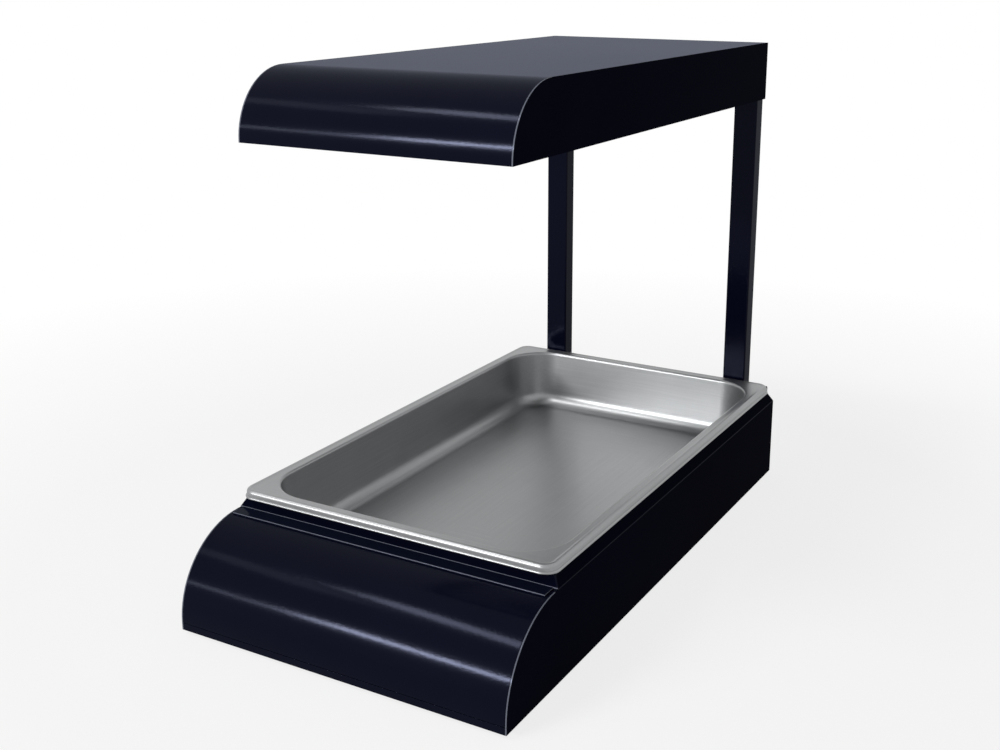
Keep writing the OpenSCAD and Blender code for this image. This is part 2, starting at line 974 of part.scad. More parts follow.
module terminal_screws() {
    top = floor_z + block_step;
    color("#c9a24a")
        in_frame()
            for (i = [0:ways - 1], y = [block_y + plate_in, block_y + block_d - plate_in]) {
                x = (i + 0.5) * way_pitch - block_x + block_rib / 2;
                plate_x = way_pitch / 2 - block_rib;
                slab([x - plate_x, y - plate_half, top], [x + plate_x, y + plate_half, top + plate_t]);
                screw_line(x, y, top + plate_t, top + plate_t + plate_screw[1], plate_screw[0]);
            }
}

module switch_body() {
    half_w = switch_w / 2;
    half_h = switch_h / 2;
    front = hood_rear_y - sheet - barrel_l;
    pocket_x = rocker_x + rest_gap;
    pocket_z = rock_r + fit_gap;
    bore_x = rocker_x + trunnion_l + rest_gap;
    color(dark)
        in_frame()
            difference() {
                union() {
                    slab([switch_x - half_w - bezel_w, hood_rear_y, switch_z - half_h - bezel_w],
                        [switch_x + half_w + bezel_w, hood_rear_y + bezel, switch_z + half_h + bezel_w]);
                    slab([switch_x - half_w + hole_gap, front, switch_z - half_h + hole_gap],
                        [switch_x + half_w - hole_gap, hood_rear_y, switch_z + half_h - hole_gap]);
                    for (x = [-tab_x, tab_x], z = [-tab_z, tab_z])
                        slab([switch_x + x, front - tab[1], switch_z + z - tab[2] / 2],
                            [switch_x + x + tab[0], front, switch_z + z + tab[2] / 2]);
                }
                slab([switch_x - pocket_x, pivot_y - rocker_back - pocket_gap, switch_z - pocket_z],
                    [switch_x + pocket_x, hood_rear_y + bezel + 1, switch_z + pocket_z]);
                translate([switch_x - bore_x, pivot_y, switch_z])
                    rotate([0, 90, 0])
                        cylinder(r = trunnion_r + pin_gap, h = 2 * bore_x);
            }
}

// The rocker rests leaning one way, with its lower half pressed in
module switch_rocker() {
    lip = rocker_top + rock_r * tan(rock_a);
    color(dark)
        in_frame()
            union() {
                along_x(switch_x - rocker_x, switch_x + rocker_x)
                    translate([pivot_y, switch_z])
                        rotate(-rock_a)
                            intersection() {
                                circle(rock_r);
                                polygon([[-rocker_back, -rock_r], [lip, -rock_r], [rocker_top, 0],
                                    [lip, rock_r], [-rocker_back, rock_r]]);
                            }
                translate([switch_x - rocker_x - trunnion_l, pivot_y, switch_z])
                    rotate([0, 90, 0])
                        cylinder(r = trunnion_r, h = 2 * (rocker_x + trunnion_l));
            }
}

module cord_gland() {
    wall = base_l;
    color(dark)
        in_frame()
            difference() {
                union() {
                    bolt_line(-gland_x, wall - sheet - gland_in, wall, lead_z, gland_r);
                    bolt_line(-gland_x, wall, wall + gland_flange, lead_z, gland_hex, $fn = 6);
                    bolt_line(-gland_x, wall + gland_flange, wall + gland_neck, lead_z, gland_r + 1);
                    bolt_line(-gland_x, wall + gland_neck, wall + gland_cap, lead_z, gland_hex - 1, $fn = 6);
                    facing_back([-gland_x, wall + gland_cap, lead_z])
                        cylinder(r1 = gland_r + 2, r2 = gland_r - 1.5, h = gland_out - gland_cap);
                }
                bolt_line(-gland_x, wall - sheet - gland_in - 1, wall + gland_out + 1, lead_z, gland_bore);
            }
}

module gland_nut() {
    face = base_l - sheet;
    color(dark)
        in_frame()
            difference() {
                bolt_line(-gland_x, face - gland_nut_t, face, lead_z, gland_hex, $fn = 6);
                bolt_line(-gland_x, face - gland_nut_t - 1, face + 1, lead_z, gland_r + rod_gap);
            }
}

// Grommet in a wall from y0 to y1
module grommet(y0, y1, z) {
    lip = grommet_lip;
    difference() {
        union() {
            bolt_line(post_x, y0 - lip, y0, z, lead_flange);
            bolt_line(post_x, y0, y1, z, lead_hole - hole_gap);
            bolt_line(post_x, y1, y1 + lip, z, lead_flange);
        }
        bolt_line(post_x, y0 - lip - 1, y1 + lip + 1, z, lead_r + rest_gap);
    }
}

module lead_grommets() {
    color(dark)
        in_frame() {
            grommet(base_l - sheet, post_front + post_t, lead_z);
            grommet(post_front, post_front + post_t, lead_top);
        }
}

// Quarter bend at the corner c, from direction a to direction b
module lead_elbow(c, a, b) {
    o = c - a * lead_bend + b * lead_bend;
    n = cross(a, b);
    multmatrix([
        [-b[0], a[0], n[0], o[0]],
        [-b[1], a[1], n[1], o[1]],
        [-b[2], a[2], n[2], o[2]],
        [0, 0, 0, 1]
    ])
        rotate_extrude(angle = 90)
            translate([lead_bend, 0])
                circle(lead_r);
}

// Straight stretch from p along the unit vector d
module lead_straight(p, d, run) {
    u = [d[1], d[2], d[0]];
    v = cross(d, u);
    multmatrix([
        [u[0], v[0], d[0], p[0]],
        [u[1], v[1], d[1], p[1]],
        [u[2], v[2], d[2], p[2]],
        [0, 0, 0, 1]
    ])
        cylinder(r = lead_r, h = run);
}

module power_lead() {
    path = [
        [-gland_x, base_l - sheet - gland_in - seam, lead_z],
        [-gland_x, lead_y, lead_z],
        [post_x, lead_y, lead_z],
        [post_x, lead_up_y, lead_z],
        [post_x, lead_up_y, lead_top],
        [post_x, lead_out_y, lead_top],
        [block_x + seam, lead_out_y, lead_top]
    ];
    last = len(path) - 1;
    way = [for (i = [0:last - 1]) (path[i + 1] - path[i]) / norm(path[i + 1] - path[i])];
    color("#33363b")
        in_frame()
            union() {
                for (i = [0:last - 1]) {
                    near = i == 0 ? 0 : lead_bend;
                    far = i == last - 1 ? 0 : lead_bend;
                    lead_straight(path[i] + way[i] * near, way[i], norm(path[i + 1] - path[i]) - near - far);
                }
                for (i = [1:last - 1])
                    lead_elbow(path[i], way[i - 1], way[i]);
            }
}

food_pan();
base_front();
base_side_left();
base_side_right();
base_rear();
base_bottom();
top_frame();
well_liner();
base_screws();
feet();
foot_screws();
post_left();
post_right();
post_base_bolts();
post_hood_bolts();
hood_cover();
hood_side_left();
hood_side_right();
hood_rear();
hood_floor();
hood_screws();
reflector();
reflector_insulation();
heating_element();
element_bushings();
element_bracket_front();
element_bracket_rear();
wire_guard();
guard_screws();
terminal_block();
terminal_screws();
switch_body();
switch_rocker();
cord_gland();
gland_nut();
lead_grommets();
power_lead();
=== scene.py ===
"""Looks of a countertop chip warmer: its painted sheet metal, steel pan, heater and stage."""

import math

import bmesh
import bpy
from bpy.props import FloatProperty, FloatVectorProperty, IntProperty, PointerProperty
from mathutils import Matrix, Vector


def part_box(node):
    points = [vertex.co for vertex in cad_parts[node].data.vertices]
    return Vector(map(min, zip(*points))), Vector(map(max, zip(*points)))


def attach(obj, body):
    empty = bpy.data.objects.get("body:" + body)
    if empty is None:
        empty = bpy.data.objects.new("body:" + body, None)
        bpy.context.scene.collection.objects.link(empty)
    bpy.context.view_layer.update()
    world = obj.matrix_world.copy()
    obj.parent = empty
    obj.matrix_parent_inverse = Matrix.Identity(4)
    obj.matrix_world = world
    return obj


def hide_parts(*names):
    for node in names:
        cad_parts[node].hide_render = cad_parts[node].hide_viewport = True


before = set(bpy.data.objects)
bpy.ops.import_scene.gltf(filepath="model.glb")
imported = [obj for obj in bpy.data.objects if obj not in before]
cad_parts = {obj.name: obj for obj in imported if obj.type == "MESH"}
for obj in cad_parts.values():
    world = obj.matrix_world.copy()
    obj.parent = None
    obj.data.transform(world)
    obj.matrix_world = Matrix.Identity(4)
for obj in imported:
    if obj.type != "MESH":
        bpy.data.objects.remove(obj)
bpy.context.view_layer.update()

bl_info = {
    "name": "Chip warmer",
    "version": (1, 0, 0),
    "blender": (4, 5, 0),
    "location": "3D View > Sidebar > Chip warmer",
    "description": "Dresses a countertop chip warmer and sets its stage",
    "category": "Object",
}

MM = 0.001
TO_FRAME = Matrix.Scale(MM, 4)
STAND, PAN, ROCKER = "stand", "pan", "rocker"
UP, DOWN = Vector((0.0, 0.0, 1.0)), Vector((0.0, 0.0, -1.0))
BACK, RIGHT = Vector((0.0, 1.0, 0.0)), Vector((1.0, 0.0, 0.0))
WHITE = (1.0, 1.0, 1.0, 1.0)
PLATE = 1.2  # thickness of the painted sheets, in millimetres


# Sizes and colours


def length(name, description, default):
    """A length in metres that the panel shows in its own unit."""
    return FloatProperty(
        name=name, description=description, default=default, min=0.0, precision=4, unit="LENGTH"
    )


def angle(name, description, degrees):
    """An angle that the panel shows in degrees."""
    return FloatProperty(
        name=name, description=description, default=math.radians(degrees), subtype="ANGLE"
    )


def colour(name, description, default):
    """A colour that the panel shows as a swatch."""
    return FloatVectorProperty(
        name=name,
        description=description,
        default=default,
        size=3,
        min=0.0,
        max=1.0,
        subtype="COLOR",
    )


class SheetSizes(bpy.types.PropertyGroup):
    edge: length("Sheet edge", "Radius on the cut edges of the painted sheets", 0.0004)
    fold: length("Fold", "Radius on the outside of the collar's folds", 0.0012)
    hem: length("Hem", "Height of the rolled hem on the ledge", 0.0019)
    arc_steps: IntProperty(
        name="Arc steps", description="Steps round each curved front", default=40, min=12, max=96
    )


class PanSizes(bpy.types.PropertyGroup):
    thickness: length("Steel", "Thickness of the pan's steel", 0.0008)
    brim_edge: length("Brim edge", "Radius where the brim turns down into the lip", 0.0034)
    mouth_edge: length("Mouth edge", "Radius where the brim turns down into the body", 0.003)
    ridge: length("Ridge", "Height of the ridge along the brim's outer edge", 0.0006)
    bead: length("Bead", "Radius of the rolled bead at the bottom of the lip", 0.0012)
    lip: length("Lip", "Height of the turned-down lip", 0.0085)
    corner_steps: IntProperty(
        name="Corner steps", description="Steps round each corner", default=14, min=4, max=32
    )


class Finishes(bpy.types.PropertyGroup):
    paint: colour("Paint", "Blue-black gloss powder coat", (0.0018, 0.0022, 0.0085))
    # Painted highlight: a lighter coat colour for rounded edges and hems, standing in for the light
    # line they catch
    edge: colour("Coat on edges", "Powder coat where it thins over a cut edge", (0.13, 0.14, 0.175))
    steel: colour("Pan steel", "Satin stainless steel", (0.30, 0.305, 0.31))
    zinc: colour("Zinc", "Zinc plate on fasteners, brackets and the well", (0.50, 0.51, 0.52))
    bright: colour("Reflector", "Polished aluminium", (0.80, 0.81, 0.82))
    element: colour("Element", "Oxidised sheath of the heating element", (0.10, 0.085, 0.07))
    ceramic: colour("Ceramic", "Glazed steatite", (0.78, 0.74, 0.64))
    insulation: colour("Insulation", "Mineral fibre pad", (0.55, 0.47, 0.26))
    brass: colour("Brass", "Brass terminal screws", (0.60, 0.40, 0.13))
    rubber: colour("Rubber", "Feet and grommets", (0.014, 0.014, 0.015))
    plastic: colour("Plastic", "Black switch and gland", (0.012, 0.012, 0.013))
    lead: colour("Lead", "Sleeve of the supply lead", (0.030, 0.032, 0.036))
    mark: colour("Mark", "Printed marks on the switch", (0.80, 0.80, 0.78))


class StageSettings(bpy.types.PropertyGroup):
    azimuth: angle("Azimuth", "Camera's turn about Z", 29.13649)
    elevation: angle("Elevation", "Camera's height angle", 15.23335)
    roll: angle("Roll", "Camera's roll", 0.0955)
    lens: FloatProperty(
        name="Lens", description="Focal length on a 36 mm sensor", default=46.1, unit="CAMERA"
    )
    floor: colour("Floor", "Pale floor", (0.86, 0.86, 0.86))


# Shader expressions


class Value:
    """A shader socket that takes part in Python expressions, each operator adding its Math node."""

    def __init__(self, shader, socket):
        self.shader = shader
        self.socket = socket

    def maths(self, operation, *terms):
        """The result of a Math node."""
        return self.shader.add("ShaderNodeMath", {"operation": operation}, dict(enumerate(terms)))

    def __add__(self, other):
        return self.maths("ADD", self, other)

    def __radd__(self, other):
        return self.maths("ADD", other, self)

    def __sub__(self, other):
        return self.maths("SUBTRACT", self, other)

    def __rsub__(self, other):
        return self.maths("SUBTRACT", other, self)

    def __mul__(self, other):
        return self.maths("MULTIPLY", self, other)

    def __rmul__(self, other):
        return self.maths("MULTIPLY", other, self)

    def __abs__(self):
        return self.maths("ABSOLUTE", self)

    def above(self, other):
        """1 where this is greater than other, and 0 elsewhere."""
        return self.maths("GREATER_THAN", self, other)

    def output(self, name):
        """Another output of the node that this one comes from."""
        return Value(self.shader, self.socket.node.outputs[name])


class Shader:
    """A new material, or a new world, and the nodes that are added to it."""

    def __init__(self, name, kind="materials"):
        self.owner = getattr(bpy.data, kind).new(name)
        self.owner.use_nodes = True
        self.tree = self.owner.node_tree
        self.tree.nodes.clear()

    def add(self, kind, settings=None, inputs=None, output=0):
        """Adds a node, sets it up, fills or links its sockets, and gives one output."""
        node = self.tree.nodes.new(kind)
        for name, setting in (settings or {}).items():
            setattr(node, name, setting)
        for name, item in (inputs or {}).items():
            if isinstance(item, Value):
                self.tree.links.new(item.socket, node.inputs[name])
            else:
                node.inputs[name].default_value = item
        return Value(self, node.outputs[output]) if node.outputs else node

    def place(self, scale=(1.0, 1.0, 1.0)):
        """Object coordinates, stretched by scale."""
        coordinates = self.add("ShaderNodeTexCoord", output="Object")
        return self.add("ShaderNodeMapping", {}, {"Vector": coordinates, "Scale": scale})

    def noise(self, place, scale, detail=3.0, roughness=0.5):
        """Noise about 0.5, finer with more scale."""
        inputs = {"Vector": place, "Scale": scale, "Detail": detail, "Roughness": roughness}
        return self.add("ShaderNodeTexNoise", {}, inputs)

    def blend(self, factor, a, b):
        """Colour between the colours a and b."""
        inputs = {0: factor, 6: (*a, 1.0), 7: (*b, 1.0)}
        return self.add("ShaderNodeMix", {"data_type": "RGBA"}, inputs, output=2)

    def bump(self, height, strength, distance):
        """A normal tilted by height; distance is in metres."""
        inputs = {"Height": height, "Strength": strength, "Distance": distance}
        return self.add("ShaderNodeBump", {}, inputs)

    def principled(self, **sockets):
        """A Principled BSDF; sockets are named with _ for a space."""
        inputs = {name.replace("_", " "): item for name, item in sockets.items()}
        for name, item in inputs.items():
            if isinstance(item, tuple) and len(item) == 3:
                inputs[name] = (*item, 1.0)
        return self.add("ShaderNodeBsdfPrincipled", {}, inputs)

    def finish(self, surface, output="ShaderNodeOutputMaterial"):
        """Ends the tree in surface and gives the material or world."""
        self.add(output, {}, {"Surface": surface})
        return self.owner

    def surface(self, **sockets):
        """Ends the material in one Principled BSDF."""
        return self.finish(self.principled(**sockets))


def shade_of(rgb, factor):
    """The colour, darker or lighter by factor."""
    return tuple(min(1.0, channel * factor) for channel in rgb)


def finish_colour(name):
    """A colour of the Finishes group."""
    return tuple(getattr(bpy.context.scene.warmer_finishes, name))


def powder_coat(name, paint, gloss, sheen=0.0):
    """Powder coat with faint orange peel; gloss is the share that shines, sheen its blue bloom."""
    shader = Shader(name)
    place = shader.place()
    cloud = shader.noise(place, 9.0, 2.0)
    peel = shader.noise(place, 420.0, 2.0, 0.4)
    fine = shader.noise(place, 1900.0, 2.0, 0.6)
    tone = shader.blend(cloud, shade_of(paint, 0.8), shade_of(paint, 1.2))
    relief = shader.bump(peel + 0.25 * fine, 0.08, 0.0004)
    dull = shader.principled(
        Base_Color=tone,
        Roughness=0.8,
        IOR=1.0,
        Sheen_Weight=sheen,
        Sheen_Roughness=0.35,
        Sheen_Tint=(0.35, 0.5, 1.0),
        Normal=relief,
    )
    shine = shader.principled(
        Base_Color=tone,
        Roughness=0.10 + 0.03 * cloud + 0.02 * fine,
        IOR=1.5,
        Specular_Tint=(0.62, 0.68, 1.0),
        Normal=relief,
    )
    share = gloss * (0.9 + 0.2 * cloud)
    return shader.finish(shader.add("ShaderNodeMixShader", {}, {0: share, 1: dull, 2: shine}))


def gloss_paint():
    """Paint of the covers, posts and rear panels."""
    return powder_coat("gloss_paint", finish_colour("paint"), 0.15, 0.12)


def side_paint():
    """Duller paint of the flat side panels and of the collar's slopes."""
    return powder_coat("side_paint", finish_colour("paint"), 0.015)


def edge_paint():
    """The same coat in a lighter colour on rounded edges and hems: a painted highlight that draws
    the light line these edges would catch.
    """
    return powder_coat("edge_paint", finish_colour("edge"), 0.16)


def satin_steel():
    """Pan steel: drawn lines that follow the brim's sides, soft smudges, satin gloss."""
    steel = finish_colour("steel")
    low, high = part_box("food_pan")
    half = (high - low) / 2
    middle = (high + low) / 2
    shader = Shader("satin_steel")
    across = shader.add("ShaderNodeSeparateXYZ", {}, {0: shader.place()})
    along = across.output("Y")
    side = (abs(across) - half.x).above(abs(along - middle.y) - half.y)
    lengthwise = shader.noise(shader.place((600.0, 12.0, 600.0)), 1.0, 2.0, 0.5)
    crosswise = shader.noise(shader.place((12.0, 600.0, 600.0)), 1.0, 2.0, 0.5)
    lines = side * lengthwise + (1 - side) * crosswise
    smudge = shader.noise(shader.place(), 22.0, 4.0)
    tone = 0.4 * smudge + 0.6 * lines
    return shader.surface(
        Base_Color=shader.blend(tone, shade_of(steel, 0.82), shade_of(steel, 1.15)),
        Metallic=1.0,
        Roughness=0.32 + 0.05 * lines + 0.05 * smudge,
        Normal=shader.bump(lines, 0.03, 0.0001),
    )


def zinc_plate():
    """Plated steel with the faint spangle of the coat."""
    zinc = finish_colour("zinc")
    shader = Shader("zinc_plate")
    place = shader.place()
    cells = {"Vector": place, "Scale": 110.0}
    spangle = shader.add("ShaderNodeTexVoronoi", {"feature": "F1"}, cells, "Color")
    grey = shader.add("ShaderNodeRGBToBW", {}, {0: spangle})
    cloud = shader.noise(place, 30.0)
    return shader.surface(
        Base_Color=shader.blend(grey, shade_of(zinc, 0.82), shade_of(zinc, 1.1)),
        Metallic=1.0,
        Roughness=0.30 + 0.12 * grey + 0.08 * cloud,
        Normal=shader.bump(cloud, 0.05, 0.0003),
    )


def polished_reflector():
    """Rolled aluminium: long faint rolling lines and a slow waviness."""
    bright = finish_colour("bright")
    shader = Shader("polished_reflector")
    rolling = shader.noise(shader.place((900.0, 8.0, 900.0)), 1.0, 3.0)
    wave = shader.noise(shader.place(), 14.0, 1.0)
    return shader.surface(
        Base_Color=shader.blend(rolling, shade_of(bright, 0.92), bright),
        Metallic=1.0,
        Roughness=0.12 + 0.10 * rolling,
        Normal=shader.bump(wave + 0.05 * rolling, 0.25, 0.0008),
    )


def plated_wire():
    """Nickel-plated wire, a little dulled by heat."""
    bright = finish_colour("bright")
    shader = Shader("plated_wire")
    cloud = shader.noise(shader.place(), 55.0)
    return shader.surface(
        Base_Color=shader.blend(cloud, shade_of(bright, 0.72), shade_of(bright, 0.92)),
        Metallic=1.0,
        Roughness=0.16 + 0.14 * cloud,
    )


def oxidised_sheath():
    """Element sheath: dark oxide with a grainy, mottled surface."""
    element = finish_colour("element")
    shader = Shader("oxidised_sheath")
    place = shader.place()
    mottle = shader.noise(place, 70.0, 5.0, 0.6)
    grain = shader.noise(place, 900.0)
    return shader.surface(
        Base_Color=shader.blend(mottle, shade_of(element, 0.55), shade_of(element, 1.6)),
        Metallic=0.55,
        Roughness=0.48 + 0.2 * mottle,
        Normal=shader.bump(grain + mottle, 0.2, 0.0003),
    )


def glazed_ceramic():
    """Glazed steatite with faint clouds in tone and gloss."""
    ceramic = finish_colour("ceramic")
    shader = Shader("glazed_ceramic")
    cloud = shader.noise(shader.place(), 60.0)
    return shader.surface(
        Base_Color=shader.blend(cloud, shade_of(ceramic, 0.94), shade_of(ceramic, 1.03)),
        Roughness=0.28 + 0.15 * cloud,
        Normal=shader.bump(cloud, 0.1, 0.0003),
    )


def mineral_fibre():
    """Fibre pad: tangled strands in height and tone."""
    pad = finish_colour("insulation")
    shader = Shader("mineral_fibre")
    strands = shader.noise(shader.place((60.0, 420.0, 420.0)), 1.0, 5.0, 0.7)
    tufts = shader.noise(shader.place(), 130.0, 5.0, 0.65)
    return shader.surface(
        Base_Color=shader.blend(strands, shade_of(pad, 0.7), shade_of(pad, 1.25)),
        Roughness=0.95,
        Normal=shader.bump(strands + tufts, 0.8, 0.0015),
    )


def turned_brass():
    """Turned brass, lightly tarnished."""
    brass = finish_colour("brass")
    shader = Shader("turned_brass")
    cloud = shader.noise(shader.place(), 240.0)
    return shader.surface(
        Base_Color=shader.blend(cloud, shade_of(brass, 0.8), shade_of(brass, 1.1)),
        Metallic=1.0,
        Roughness=0.25 + 0.15 * cloud,
    )


def moulded(name, rgb, roughness, scale, depth):
    """Moulded rubber or plastic: an even grain in height and a little in gloss."""
    shader = Shader(name)
    place = shader.place()
    grain = shader.noise(place, scale, 3.0, 0.6)
    cloud = shader.noise(place, 35.0)
    return shader.surface(
        Base_Color=shader.blend(cloud, shade_of(rgb, 0.8), shade_of(rgb, 1.3)),
        Roughness=roughness + 0.1 * grain,
        Normal=shader.bump(grain, 0.35, depth),
    )


def foot_rubber():
    """Rubber of the feet and grommets."""
    return moulded("foot_rubber", finish_colour("rubber"), 0.62, 700.0, 0.0003)


def grained_plastic():
    """Black plastic of the switch and gland."""
    return moulded("grained_plastic", finish_colour("plastic"), 0.34, 1300.0, 0.0001)


def lead_sleeve():
    """Sleeve of the supply lead."""
    return moulded("lead_sleeve", finish_colour("lead"), 0.5, 500.0, 0.0002)


def printed_mark():
    """Pale print on the rocker."""
    return moulded("printed_mark", finish_colour("mark"), 0.4, 900.0, 0.00005)


def made_once(maker):
    """The maker's material, made the first time that it is asked for."""
    return bpy.data.materials.get(maker.__name__) or maker()


# Modelling helpers, in millimetres


def span(node):
    """Lowest and highest corner of a CAD node in millimetres."""
    low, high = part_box(node)
    return low / MM, high / MM


def finish_piece(bm, name, makers, body=STAND, replaces=(), sharp=35.0):
    """Scales the mesh from millimetres into the frame and hands the piece over."""
    bmesh.ops.transform(bm, matrix=TO_FRAME, verts=bm.verts)
    mesh = bpy.data.meshes.new(name)
    bm.to_mesh(mesh)
    bm.free()
    mesh.shade_smooth()
    mesh.set_sharp_from_angle(angle=math.radians(sharp))
    for maker in makers if isinstance(makers, tuple) else (makers,):
        mesh.materials.append(made_once(maker))
    piece = bpy.data.objects.new(name, mesh)
    bpy.context.scene.collection.objects.link(piece)
    modifier = piece.modifiers.new("even_shading", "WEIGHTED_NORMAL")
    modifier.keep_sharp = True
    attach(piece, body)
    if replaces:
        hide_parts(*replaces)
    return piece


def verts_in(geom):
    """The verts of an operator's mixed result."""
    return [item for item in geom if isinstance(item, bmesh.types.BMVert)]


def edges_in(geom):
    """The edges of an operator's mixed result."""
    return [item for item in geom if isinstance(item, bmesh.types.BMEdge)]


def once(items):
    """Each item once, in the order that they come in."""
    return list(dict.fromkeys(items))


def edges_at(verts):
    """Every edge that ends at one of the verts."""
    return once(e for v in verts for e in v.link_edges)


def bevel(bm, geom, radius, segments, affect="EDGES", clamp=False):
    """Rounds edges, or corners in plan, to a radius."""
    bmesh.ops.bevel(
        bm,
        geom=geom,
        offset=radius,
        offset_type="OFFSET",
        segments=segments,
        profile=0.5,
        affect=affect,
        clamp_overlap=clamp,
        material=-1,
    )


def soften_edges(bm, radius):
    """Rounds every edge where the faces turn by more than a slight fold."""
    fold = math.radians(35.0)
    sharp = [e for e in bm.edges if e.is_manifold and e.calc_face_angle(0.0) > fold]
    bevel(bm, sharp, radius, 2, clamp=True)


def merged_copy(node):
    """A CAD node's mesh in millimetres, merged and with its flat faces whole."""
    bm = bmesh.new()
    bm.from_mesh(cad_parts[node].data)
    bmesh.ops.scale(bm, vec=(1 / MM,) * 3, verts=bm.verts)
    bmesh.ops.remove_doubles(bm, verts=bm.verts, dist=0.001)
    bmesh.ops.dissolve_limit(bm, angle_limit=math.radians(0.4), verts=bm.verts, edges=bm.edges)
    return bm


def rounded_loop(bm, low, high, radius, height, steps):
    """Edges of a rounded rectangle at one height, between its low and high corner in plan."""
    old = set(bm.edges)
    made = bmesh.ops.create_grid(bm, x_segments=1, y_segments=1, size=0.5)["verts"]
    width, depth = high[0] - low[0], high[1] - low[1]
    bmesh.ops.scale(bm, vec=(width, depth, 1.0), verts=made)
    middle = ((high[0] + low[0]) / 2, (high[1] + low[1]) / 2, height)
    bmesh.ops.translate(bm, vec=middle, verts=made)
    bevel(bm, made, radius, steps, "VERTICES")
    edges = [e for e in bm.edges if e not in old]
    faces = once(f for e in edges for f in e.link_faces)
    bmesh.ops.delete(bm, geom=faces, context="FACES_ONLY")
    return edges


def loft(bm, loops, closed=False):
    """Skins a row of loops; the ends are capped unless the row closes on itself."""
    for near, far in zip(loops, loops[1:] + loops[:1] if closed else loops[1:]):
        bmesh.ops.bridge_loops(bm, edges=near + far)
    if not closed:
        for end in (loops[0], loops[-1]):
            bmesh.ops.contextual_create(bm, geom=end)
    bmesh.ops.recalc_face_normals(bm, faces=bm.faces)


def finish_sheet(node, edge):
    """Rounds a painted sheet's edges; a side panel is duller, with a painted highlight along its
    curve: a light line in the lighter edge coat.
    """
    side_round, level = 1.4, 0.97
    bm = merged_copy(node)
    if "_side_" in node:
        soften_edges(bm, side_round * edge)
        low, high = span(node)
        outside = max(high.x, -low.x)
        curve_end = low.y + high.z - low.z
        # Rounded faces at the panel's outer edge along the curve take the lighter edge coat: a
        # painted highlight
        for face in bm.faces:
            centre = face.calc_center_median()
            on_edge = abs(face.normal.x) < level and abs(centre.x) > outside - PLATE
            face.material_index = 1 if on_edge and centre.y < curve_end else 0
        makers = (side_paint, edge_paint)
    else:
        soften_edges(bm, edge)
        makers = gloss_paint
    finish_piece(bm, f"{node}_sheet", makers, replaces=[node])


def finish_copy(node, maker, radius, body=STAND):
    """Stands a merged copy with rounded edges in for a CAD node."""
    bm = merged_copy(node)
    soften_edges(bm, radius)
    finish_piece(bm, f"{node}_part", maker, body, [node])


class Outline:
    """An outline in the plane x = 0, drawn as straight runs and arcs, then extruded along X."""

    def __init__(self, bm, y, z):
        self.bm = bm
        self.first = self.tip = bm.verts.new((0.0, y, z))
        self.verts = [self.first]

    def to(self, y, z):
        """Runs straight on to a point."""
        self.tip = bmesh.ops.extrude_vert_indiv(self.bm, verts=[self.tip])["verts"][0]
        self.tip.co = (0.0, y, z)
        self.verts.append(self.tip)
        return self

    def arc(self, y, z, degrees, steps):
        """Turns about a centre by some degrees."""
        old = set(self.bm.verts)
        self.tip = bmesh.ops.spin(
            self.bm,
            geom=[self.tip],
            cent=(0.0, y, z),
            axis=(1.0, 0.0, 0.0),
            angle=math.radians(degrees),
            steps=steps,
            use_duplicate=False,
        )["geom_last"][0]
        self.verts += [v for v in self.bm.verts if v not in old]
        return self

    def extrude(self, x0, x1):
        """Closes the outline and makes it a solid from x0 to x1."""
        self.bm.edges.new((self.tip, self.first))
        edges = edges_at(self.verts)
        face = bmesh.ops.contextual_create(self.bm, geom=edges)["faces"]
        bmesh.ops.translate(self.bm, vec=(x0, 0.0, 0.0), verts=self.verts)
        grown = bmesh.ops.extrude_face_region(self.bm, geom=face)["geom"]
        moved = verts_in(grown)
        bmesh.ops.translate(self.bm, vec=(x1 - x0, 0.0, 0.0), verts=moved)
        bmesh.ops.recalc_face_normals(self.bm, faces=self.bm.faces)


def slab(bm, size, radius, place):
    """A box with rounded edges, put down by the matrix place."""
    old = set(bm.verts)
    made = bmesh.ops.create_cube(bm, size=1.0)["verts"]
    bmesh.ops.scale(bm, vec=size, verts=made)
    bevel(bm, edges_at(made), radius, 2)
    made = [v for v in bm.verts if v not in old]
    bmesh.ops.transform(bm, matrix=place, verts=made)


def turned(bm, profile, place, steps=32):
    """A solid of revolution from (radius, height) points, put down by the matrix place."""
    old = set(bm.verts)
    verts = [bm.verts.new((r, 0.0, h)) for r, h in profile]
    edges = [bm.edges.new(pair) for pair in zip(verts, verts[1:])]
    bmesh.ops.spin(
        bm,
        geom=verts + edges,
        cent=(0.0, 0.0, 0.0),
        axis=(0.0, 0.0, 1.0),
        angle=math.tau,
        steps=steps,
        use_merge=True,
        use_duplicate=False,
    )
    made = [v for v in bm.verts if v not in old]
    bmesh.ops.remove_doubles(bm, verts=made, dist=0.0005)
    made = [v for v in bm.verts if v not in old]
    faces = once(f for v in made for f in v.link_faces)
    bmesh.ops.recalc_face_normals(bm, faces=faces)
    bmesh.ops.transform(bm, matrix=place, verts=made)


def at(point, facing=UP):
    """Matrix that stands a turned piece on a point, with its axis along facing."""
    return Matrix.Translation(point) @ facing.to_track_quat("Z", "Y").to_matrix().to_4x4()


def end_faces(bm, outward):
    """Flat faces at the very end of a mesh in one direction."""
    ends = [f for f in bm.faces if f.normal.dot(outward) > 0.99]
    reach = max(f.calc_center_median().dot(outward) for f in ends)
    return [f for f in ends if f.calc_center_median().dot(outward) > reach - 0.01]


# Lobes of a drive, and its waist between them as a share of its reach
CROSS, SOCKET = (4, 0.4), (3, 1.0)


